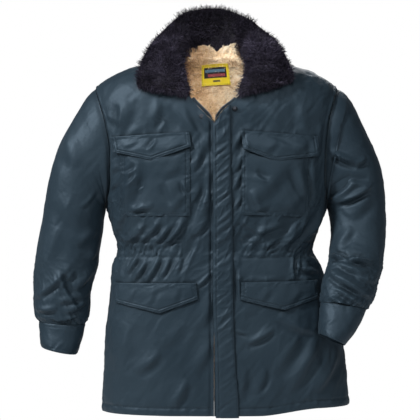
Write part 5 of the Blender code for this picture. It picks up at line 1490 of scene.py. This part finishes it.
placket_runs = [(rows, inset / from_left[:, -1] * (PLACKET_COLUMNS - 1)) for inset in insets]
seams = sewn("placket_stitches", hang(outer), (0, -1, 0), placket_runs)


# The fur collar: imitation fur, near black with a blue cast, on a band that stands up at
# the back of the neck and falls open to the front. A skin lies just inside the solid, and
# every hair is rooted in it and combed down and out, in clumps.
FUR_SKIN_IN = 0.0042
SKIN_SMOOTHINGS = 2
FUR_INNER_OUT = 0.0035
HAIR_LENGTH = 0.0125
HAIR_WIDTH = 0.0011
HAIR_JOINTS = 3
HAIR_BEND = 0.18
HAIR_COUNT = 36000
HAIR_FAN = 0.45
CLUMP_SIZE = 0.025
STRAND_SEED = 7
LINING_COVERS_TO_Z = 0.026
LINING_COVERS_HALF = 0.058
TUFT_X = 0.003

fur_material, tree, shader, place = blank_material("navy_fur")
fur_patch = texture(tree, "ShaderNodeTexNoise", place.outputs["Object"], Scale=20.0, Detail=3.0,
                    Distortion=0.8)
fur_tone = node(tree, "ShaderNodeAttribute", {"attribute_name": "tone"}).outputs["Fac"]
fur_colour = ramp(tree, mixed(tree, "MIX", 0.22, fur_patch, fur_tone), (0.36, (0.003, 0.002, 0.005)),
                  (0.52, (0.014, 0.012, 0.021)), (0.66, (0.062, 0.055, 0.086)))
# Painted light and shade: the fur's colour is painted lighter towards the front and darker towards the back
# of the neck, where the inside of the standing band is painted as shaded.
fur_depth = node(tree, "ShaderNodeSeparateXYZ", Vector=place.outputs["Object"]).outputs["Y"]
fur_painted_shade = ranged(tree, fur_depth, _1=0.0, _2=0.07, _3=1.25, _4=0.50)
feed(tree, shader, Base_Color=scaled(tree, fur_colour, fur_painted_shade), Roughness=0.62, Specular_IOR_Level=0.18,
     Sheen_Weight=0.20, Sheen_Tint=(0.68, 0.62, 0.90, 1))

skin_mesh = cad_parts["collar_fur"].data.copy()
skin_work = bmesh.new()
skin_work.from_mesh(skin_mesh)
bmesh.ops.remove_doubles(skin_work, verts=skin_work.verts, dist=0.0001)
bmesh.ops.subdivide_edges(skin_work, edges=skin_work.edges, cuts=2, use_grid_fill=True)
bmesh.ops.triangulate(skin_work, faces=skin_work.faces)
for _ in range(SKIN_SMOOTHINGS):
    bmesh.ops.smooth_vert(skin_work, verts=skin_work.verts, factor=0.5, use_axis_x=True, use_axis_y=True,
                          use_axis_z=True)
bmesh.ops.recalc_face_normals(skin_work, faces=skin_work.faces)
skin_work.normal_update()
for vert in skin_work.verts:
    to_neck = Vector((-vert.co.x, -vert.co.y, 0)).normalized().dot(vert.normal)
    inner = ease(0.30, 0.75, to_neck) * ease(0.105, 0.060, vert.co.z) * ease(0.060, 0.030, vert.co.y)
    lump = noise.noise(vert.co / 0.030) * 0.0026
    top = ease(0.060, 0.115, vert.co.z)
    sunk = FUR_SKIN_IN * (1 - inner) * (1 - 0.75 * top)
    vert.co += vert.normal * float(lump + FUR_INNER_OUT * inner - sunk)
skin_work.to_mesh(skin_mesh)
skin_work.free()


# The vector noise would start from the clock without a seed of its own
noise.seed_set(STRAND_SEED)


def comb_surface(mesh, direction_at, cover_at):
    """Keep on each point which way its strands lie, and how thickly they stand there."""
    directions = np.array([direction_at(vert) for vert in mesh.vertices])
    covers = np.array([cover_at(vert) for vert in mesh.vertices])
    mesh.attributes.new("comb", "FLOAT_VECTOR", "POINT").data.foreach_set("vector", directions.ravel())
    mesh.attributes.new("cover", "FLOAT", "POINT").data.foreach_set("value", covers)


def fur_direction(vert):
    clump = noise.noise_vector(vert.co / CLUMP_SIZE)
    down = 0.45 - 0.60 * float(ease(0.060, 0.115, vert.co.z))
    if vert.normal.y < -0.1 and vert.co.y > 0.03:
        down += 1.4 * float(1 - ease(0.030, 0.056, vert.co.z))
    return vert.normal * 0.85 + Vector((0, 0, -down)) + clump * 1.0


def fur_cover(vert):
    """None where the lining lies over the band's foot, but for a tuft at the middle."""
    tuft = 0.016 * math.exp(-((vert.co.x - TUFT_X) / 0.010) ** 2)
    under_lining = (vert.co.z < LINING_COVERS_TO_Z - tuft and abs(vert.co.x) < LINING_COVERS_HALF
                    and vert.co.y > 0.03 and vert.normal.y < -0.1)
    return 0.0 if under_lining else 1.0


comb_surface(skin_mesh, fur_direction, fur_cover)
skin_mesh.materials.clear()
skin_mesh.materials.append(fur_material)
collar_skin = add_object("collar_skin", skin_mesh)

hair_points = []
for k in range(HAIR_JOINTS):
    rise = k / HAIR_JOINTS
    half = HAIR_WIDTH * (1 - 0.45 * rise) / 2
    bend = HAIR_BEND * HAIR_LENGTH * rise ** 2
    hair_points += [(-half, bend, HAIR_LENGTH * rise), (half, bend, HAIR_LENGTH * rise)]
hair_points.append((0, HAIR_BEND * HAIR_LENGTH, HAIR_LENGTH))
hair = add_object("hair", add_mesh("hair", hair_points, [(0, 1, 3, 2), (2, 3, 5, 4), (4, 5, 6)]))
hair.data.shade_smooth()


def scatter_tree(name, strand, material):
    """A tree that roots strands in a surface by its cover, turned along its comb."""
    tree = bpy.data.node_groups.new(name, "GeometryNodeTree")
    tree.is_modifier = True
    tree.interface.new_socket("Surface", in_out="INPUT", socket_type="NodeSocketGeometry")
    for label, value in (("Density", 1000.0), ("Fan", 0.5), ("Shortest", 0.7), ("Longest", 1.2)):
        socket = tree.interface.new_socket(label, in_out="INPUT", socket_type="NodeSocketFloat")
        socket.default_value = value
    tree.interface.new_socket("Strands", in_out="OUTPUT", socket_type="NodeSocketGeometry")
    given = node(tree, "NodeGroupInput")
    covered = node(tree, "GeometryNodeInputNamedAttribute", {"data_type": "FLOAT"}, Name="cover")
    thick = node(tree, "ShaderNodeMath", {"operation": "MULTIPLY"}, _0=given.outputs["Density"],
                 _1=covered.outputs["Attribute"])
    roots = node(tree, "GeometryNodeDistributePointsOnFaces", {"distribute_method": "RANDOM"},
                 Mesh=given.outputs["Surface"], Density=thick.outputs[0], Seed=7)
    combed = node(tree, "GeometryNodeInputNamedAttribute", {"data_type": "FLOAT_VECTOR"}, Name="comb")
    spread_of = node(tree, "FunctionNodeRandomValue", {"data_type": "FLOAT_VECTOR"})
    spread_of.inputs[0].default_value = (-1, -1, -1)
    spread_of.inputs[1].default_value = (1, 1, 1)
    fanned = node(tree, "ShaderNodeVectorMath", {"operation": "SCALE"}, _0=spread_of.outputs[0],
                  Scale=given.outputs["Fan"])
    aimed = node(tree, "ShaderNodeVectorMath", {"operation": "ADD"}, _0=combed.outputs["Attribute"],
                 _1=fanned.outputs["Vector"])
    turned = node(tree, "FunctionNodeAlignRotationToVector", {"axis": "Z"}, Vector=aimed.outputs["Vector"])
    spin = node(tree, "FunctionNodeRandomValue", {"data_type": "FLOAT"}, Seed=3)
    spin.inputs[2].default_value = 0.0
    spin.inputs[3].default_value = 2 * math.pi
    spin_axis = node(tree, "ShaderNodeCombineXYZ", Z=spin.outputs[1])
    spin_turn = node(tree, "FunctionNodeEulerToRotation", Euler=spin_axis.outputs["Vector"])
    twisted = node(tree, "FunctionNodeRotateRotation", {"rotation_space": "LOCAL"},
                   Rotation=turned.outputs["Rotation"], Rotate_By=spin_turn.outputs["Rotation"])
    size = node(tree, "FunctionNodeRandomValue", {"data_type": "FLOAT"}, Seed=5)
    tree.links.new(given.outputs["Shortest"], size.inputs[2])
    tree.links.new(given.outputs["Longest"], size.inputs[3])
    source = node(tree, "GeometryNodeObjectInfo", Object=strand)
    strands = node(tree, "GeometryNodeInstanceOnPoints", Points=roots.outputs["Points"],
                   Instance=source.outputs["Geometry"], Rotation=twisted.outputs["Rotation"],
                   Scale=size.outputs[1])
    tone = node(tree, "FunctionNodeRandomValue", {"data_type": "FLOAT"}, Seed=11)
    kept = node(tree, "GeometryNodeStoreNamedAttribute", {"data_type": "FLOAT", "domain": "INSTANCE"},
                Geometry=strands.outputs["Instances"], Name="tone", Value=tone.outputs[1])
    real = node(tree, "GeometryNodeRealizeInstances", Geometry=kept.outputs["Geometry"])
    finished = node(tree, "GeometryNodeSetMaterial", Geometry=real.outputs["Geometry"], Material=material)
    node(tree, "NodeGroupOutput", Strands=finished.outputs["Geometry"])
    return tree


def surface_area(mesh):
    return sum(p.area for p in mesh.polygons)


fur_tree_nodes = scatter_tree("fur_hairs", hair, fur_material)
fur = grown("collar_hair", collar_skin, fur_tree_nodes,
            {"Density": HAIR_COUNT / surface_area(skin_mesh), "Fan": HAIR_FAN, "Shortest": 0.6,
             "Longest": 1.2})
bpy.data.objects.remove(hair)
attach(collar_skin, "root")
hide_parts("collar_fur")


# The lining: cream curly pile inside the back of the neck, with short loops standing up
# from its cloth, and the woven label sewn onto it, bare but for two plain bands.
LINING_HALF = 0.098
LINING_LOW_Z = -0.190
LINING_TOP_SHARE = 0.985
LINING_DEPTH = 0.0104
LINING_THICK = 0.0022
LINING_NECK_HALF = 0.0665
LINING_NECK_FROM_Z = -0.016
LINING_NECK_TO_Z = 0.035
# Where the fur's ragged edge ends on the lining, with a tuft near the middle
LINING_EDGE = table(
    Corner,
    (-0.072, 0.017),
    (-0.06, 0.0215),
    (-0.046, 0.027),
    (-0.0276, 0.0345),
    (-0.0115, 0.0325),
    (-0.004, 0.027),
    (0.0023, 0.0165),
    (0.009, 0.0245),
    (0.015, 0.03),
    (0.046, 0.037),
    (0.06, 0.0285),
    (0.072, 0.02),
)
NECK_ROWS = 25
LINING_ROWS = 61
LINING_COLUMNS = 61
LOOP_COUNT = 9000
LOCKS = Folds(0.0016, 0.012, 0.009, math.degrees(0.4), 90.0)


def back_skin(x, z):
    """The back's plain outer skin at places seen from the front, with its normals."""
    grid = np.stack([x, skin_y(1, x, z), z], axis=-1)
    normal = grid_normals(grid)
    return grid, normal * np.sign(np.mean(normal[..., 1]))


def lining_z(x, share):
    """Heights on the back: share runs from the lining's foot up to the neckline."""
    chest = by_side(lambda side, reach: section_y(side, 1, reach, YOKE_Z), x)
    inside = np.clip(1 - (x / NECK_HALF) ** 2, 0, 1)
    neck = (NECK_BACK_Y - SHOULDER_Y) * np.sqrt(inside) / (chest - SHOULDER_Y)
    turn = np.arccos(neck ** (SHOULDER_POWER / 2)) * LINING_TOP_SHARE
    top = YOKE_Z + np.sin(turn) ** (2 / SHOULDER_POWER) * (by_side(ridge_z, x) - YOKE_Z)
    return LINING_LOW_Z + (top - LINING_LOW_Z) * share


x = np.linspace(-LINING_HALF, LINING_HALF, LINING_COLUMNS)[None, :] * np.ones((LINING_ROWS, 1))
share = (1 - (1 - np.linspace(0, 1, LINING_ROWS)) ** 1.3)[:, None] * np.ones((1, LINING_COLUMNS))
skin, normal = back_skin(x, lining_z(x, share))
plain = skin - normal * LINING_DEPTH
outer = plain - normal * (LINING_THICK + soft_folds(plain, LOCKS))[..., None]
lining = cloth("lining_back_cloth", outer, plain[::4, ::4], row_distance(plain), x * 0 + share * 0.2,
               [INSIDE_PILE, INSIDE_PILE])
neck_work = bmesh.new()
for name in ("back", "collar_fur"):
    neck_work.from_mesh(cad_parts[name].data)
neck_wall = BVHTree.FromBMesh(neck_work)
neck_work.free()
x = np.linspace(-LINING_NECK_HALF, LINING_NECK_HALF, LINING_COLUMNS)[None, :] * np.ones((NECK_ROWS, 1))
ragged = 0.0016 * sway_at(x[0] * 160, x[0] * 0, 3.3)
top_z = np.interp(x[0], *zip(*LINING_EDGE)) + ragged
z = LINING_NECK_FROM_Z + (top_z - LINING_NECK_FROM_Z)[None, :] * np.linspace(0, 1, NECK_ROWS)[:, None]
hits = [neck_wall.ray_cast(Vector((a, 0.0, b)), Vector((0, 1, 0)))[0] for a, b in zip(x.ravel(), z.ravel())]
y = np.array([h.y if h else 0.06 for h in hits]).reshape(x.shape)
for _ in range(6):
    y[1:-1, 1:-1] = np.minimum(y, (np.roll(y, 1, 0) + np.roll(y, -1, 0) + np.roll(y, 1, 1)
                                   + np.roll(y, -1, 1)) / 4)[1:-1, 1:-1]
y = y - 0.0030 - 0.0050 * ease(LINING_NECK_TO_Z, LINING_NECK_FROM_Z, z)
plain_neck = np.stack([x, y, z], axis=-1)
outer = plain_neck - np.array([0, 1, 0]) * (0.0014 + soft_folds(plain_neck, LOCKS, 2))[..., None]
lining_neck = cloth("lining_neck_cloth", outer, plain_neck[::4, ::4], x, z, [INSIDE_PILE, INSIDE_PILE])
for made in (lining, lining_neck):
    comb_surface(made.data, lambda vert: Vector((0, -0.7, 0.1)) + noise.noise_vector(vert.co / 0.008) * 1.6,
                 lambda vert: 1.0)
loop_points = [(-0.0007, 0, 0), (0.0007, 0, 0), (-0.0006, 0.0008, 0.003), (0.0006, 0.0008, 0.003),
               (0, 0.0026, 0.0046)]
loop = add_object("loop", add_mesh("loop", loop_points, [(0, 1, 3, 2), (2, 3, 4)]))
loop_tree = scatter_tree("pile_loops", loop, INSIDE_PILE)
pile_loops = [grown(name, made, loop_tree, {"Density": LOOP_COUNT / surface_area(lining.data), "Fan": 0.9,
                                            "Shortest": 0.6, "Longest": 1.3})
              for name, made in (("lining_loops", lining), ("lining_neck_loops", lining_neck))]
bpy.data.objects.remove(loop)
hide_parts("lining_back")

LABEL_CENTRE = Corner(0.0013, -0.0256)
LABEL_SIZE = (0.070, 0.051)
LABEL_TILT = math.radians(4)
LABEL_THICK = 0.0009
LABEL_ROWS = 25
LABEL_COLUMNS = 33
LABEL_YELLOW = (0.86, 0.68, 0.03)
Band = namedtuple("Band", "colour from_u to_u from_v to_v")
LABEL_BANDS = [
    Band((0.015, 0.015, 0.022), 0.0065, 0.0630, 0.0173, 0.0433),
    Band((0.12, 0.24, 0.34), 0.0095, 0.0590, 0.0315, 0.0385),
    Band((0.34, 0.07, 0.08), 0.0160, 0.0590, 0.0205, 0.0275),
    Band((0.10, 0.09, 0.04), 0.0280, 0.0450, 0.0075, 0.0120),
]


def within(tree, value, low, high):
    """1 between low and high, 0 outside."""
    over = node(tree, "ShaderNodeMath", {"operation": "GREATER_THAN"}, _0=value, _1=low).outputs[0]
    under = node(tree, "ShaderNodeMath", {"operation": "LESS_THAN"}, _0=value, _1=high).outputs[0]
    return node(tree, "ShaderNodeMath", {"operation": "MULTIPLY"}, _0=over, _1=under).outputs[0]


label_material, tree, shader, place = blank_material("woven_label")
label_place = node(tree, "ShaderNodeSeparateXYZ", Vector=place.outputs["UV"])
label_colour = (*LABEL_YELLOW, 1)
for band in LABEL_BANDS:
    across_band = within(tree, label_place.outputs["X"], band.from_u, band.to_u)
    up_band = within(tree, label_place.outputs["Y"], band.from_v, band.to_v)
    where = node(tree, "ShaderNodeMath", {"operation": "MULTIPLY"}, _0=across_band, _1=up_band).outputs[0]
    label_colour = mixed(tree, "MIX", where, label_colour, (*band.colour, 1))
label_weave = texture(tree, "ShaderNodeTexWave", place.outputs["UV"], {"bands_direction": "X"}, Scale=420.0,
                      Distortion=0.5)
feed(tree, shader, Base_Color=label_colour, Normal=bumped(tree, label_weave, 0.4, 0.0002), Roughness=0.6)

across = (np.linspace(0, 1, LABEL_COLUMNS) - 0.5)[None, :] * np.ones((LABEL_ROWS, 1)) * LABEL_SIZE[0]
up = (np.linspace(0, 1, LABEL_ROWS) - 0.5)[:, None] * np.ones((1, LABEL_COLUMNS)) * LABEL_SIZE[1]
x = LABEL_CENTRE.x + across * math.cos(LABEL_TILT) - up * math.sin(LABEL_TILT)
z = LABEL_CENTRE.z + across * math.sin(LABEL_TILT) + up * math.cos(LABEL_TILT)
skin, normal = back_skin(x, z)
curl = 0.0022 * ((across / LABEL_SIZE[0] * 2) ** 4 * 0.6 + (up / LABEL_SIZE[1] * 2) ** 4 * 0.4)
under = LINING_DEPTH + LINING_THICK + 0.0026
base = skin - normal * (under + curl)[..., None]
outer = base - normal * LABEL_THICK
label = cloth("neck_label_cloth", outer, base[::4, ::4], across + LABEL_SIZE[0] / 2, up + LABEL_SIZE[1] / 2,
              [label_material, label_material])
last_row, last_column = LABEL_ROWS - 2, LABEL_COLUMNS - 2
edge_rows = [np.full(80, 1.0), np.linspace(1, last_row, 60), np.full(80, float(last_row)),
             np.linspace(last_row, 1, 60)]
edge_columns = [np.linspace(1, last_column, 80), np.full(60, float(last_column)),
                np.linspace(last_column, 1, 80), np.full(60, 1.0)]
label_run = (np.concatenate(edge_rows), np.concatenate(edge_columns))
seams = sewn("label_stitches", outer, (0, -1, 0), [label_run])
bpy.data.objects.remove(stitch)
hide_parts("neck_label")


# The zip at the open neck: woven tape along each arm of the V, with moulded teeth on its
# inner edge, and the two press studs' caps beside it.
TAPE_WIDE = {-1: 0.0066, 1: 0.0050}
TAPE_THICK = 0.0014
TAPE_DEPTH = 0.0018
TAPE_TO_Z = COLLAR_FRONT_END_Z - 0.004
TAPE_STEPS = 41
TAPE_THREADS = 9
TAPE_POINT = 0.016
TOOTH_PITCH = 0.0024
FIRST_TOOTH = 0.010
LAST_TOOTH = 0.002
# The tape is coloured near black, far darker than the shell, as painted shade so that it sinks into the
# shadow inside the V.
tape_material = nylon("zip_tape", (0.006, 0.011, 0.016), (0.010, 0.017, 0.024))

tooth_material, tree, shader, place = blank_material("moulded_zip_teeth")
tooth_wear = texture(tree, "ShaderNodeTexNoise", place.outputs["Object"], Scale=300.0, Detail=3.0)
tooth_colour = ramp(tree, tooth_wear, (0.35, (0.030, 0.060, 0.095)), (0.65, (0.050, 0.095, 0.140)))
feed(tree, shader, Base_Color=tooth_colour, Roughness=0.35)

tooth_points = [(x * 0.0007, y * 0.0013 * (1 - 0.35 * (z > 0)), z * 0.0011)
                for x in (-1, 1) for y in (-1, 1) for z in (-1, 1)]
tooth_faces = [(0, 1, 3, 2), (4, 6, 7, 5), (0, 4, 5, 1), (2, 3, 7, 6), (0, 2, 6, 4), (1, 5, 7, 3)]
tooth = add_object("tooth", add_mesh("tooth", tooth_points, tooth_faces))
teeth_tree = row_tree("zip_teeth", tooth, tooth_material)

for side in (-1, 1):
    edge, normal = front_edge[side]
    heights = np.linspace(edge[0, 2], TAPE_TO_Z, TAPE_STEPS)
    edge, normal = (read_route(heights, edge[:, 2], field) for field in (edge, normal))
    along = np.gradient(edge, axis=0)
    along /= np.linalg.norm(along, axis=1, keepdims=True)
    inward = np.cross(along, normal)
    inward *= -side * np.sign(inward[:, :1])
    wide = TAPE_WIDE[side] * (0.12 + 0.88 * ease(0.0, TAPE_POINT, heights - heights[0]))[:, None, None]
    share = np.linspace(0, 1, TAPE_THREADS)[None, :, None]
    flat = edge[:, None] - normal[:, None] * TAPE_DEPTH + inward[:, None] * (SEAM_GAP * 1.5 + wide * share)
    weave_rib = 0.00018 * np.sin(2 * math.pi * share * 4)
    outer = flat + normal[:, None] * weave_rib
    inner = flat[::4, ::4] - normal[::4, None] * TAPE_THICK
    across = np.repeat(share[..., 0], TAPE_STEPS, 0) * TAPE_WIDE[side]
    down = np.repeat((heights - heights[0])[:, None], TAPE_THREADS, 1)
    tape = cloth("zip_tape_" + side_name(side) + "_cloth", outer, inner, across, down, [tape_material] * 2)
    length = lengths_along(flat[:, -1])
    at = np.arange(FIRST_TOOTH, length[-1] - LAST_TOOTH, TOOTH_PITCH)
    places, alongs, ups = (read_route(at, length, field) for field in (flat[:, -1], along, normal))
    teeth = in_rows("zip_teeth_" + side_name(side), teeth_tree, places, alongs, ups)
    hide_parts("zip_tape_" + side_name(side))
bpy.data.objects.remove(tooth)


def metal(name, colour, rough):
    """Plated metal with fine scratches and a little tarnish."""
    made, tree, shader, place = blank_material(name)
    stain = texture(tree, "ShaderNodeTexNoise", place.outputs["Object"], Scale=420.0, Detail=4.0)
    dull = tuple(c * 0.6 for c in colour)
    feed(tree, shader, Base_Color=ramp(tree, stain, (0.35, dull), (0.6, colour)), Metallic=1.0,
         Roughness=ranged(tree, stain, _3=rough * 0.7, _4=rough * 1.4))
    return made


# The left stud takes a darker copy of the same nickel as painted shade, since it sits on the arm of the V
# that the collar shades.
for name, finish in (("press_stud_right", metal("nickel", (0.10, 0.11, 0.13), 0.45)),
                     ("press_stud_left", metal("dark_nickel", (0.045, 0.05, 0.06), 0.40))):
    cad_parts[name].data.materials.clear()
    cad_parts[name].data.materials.append(finish)
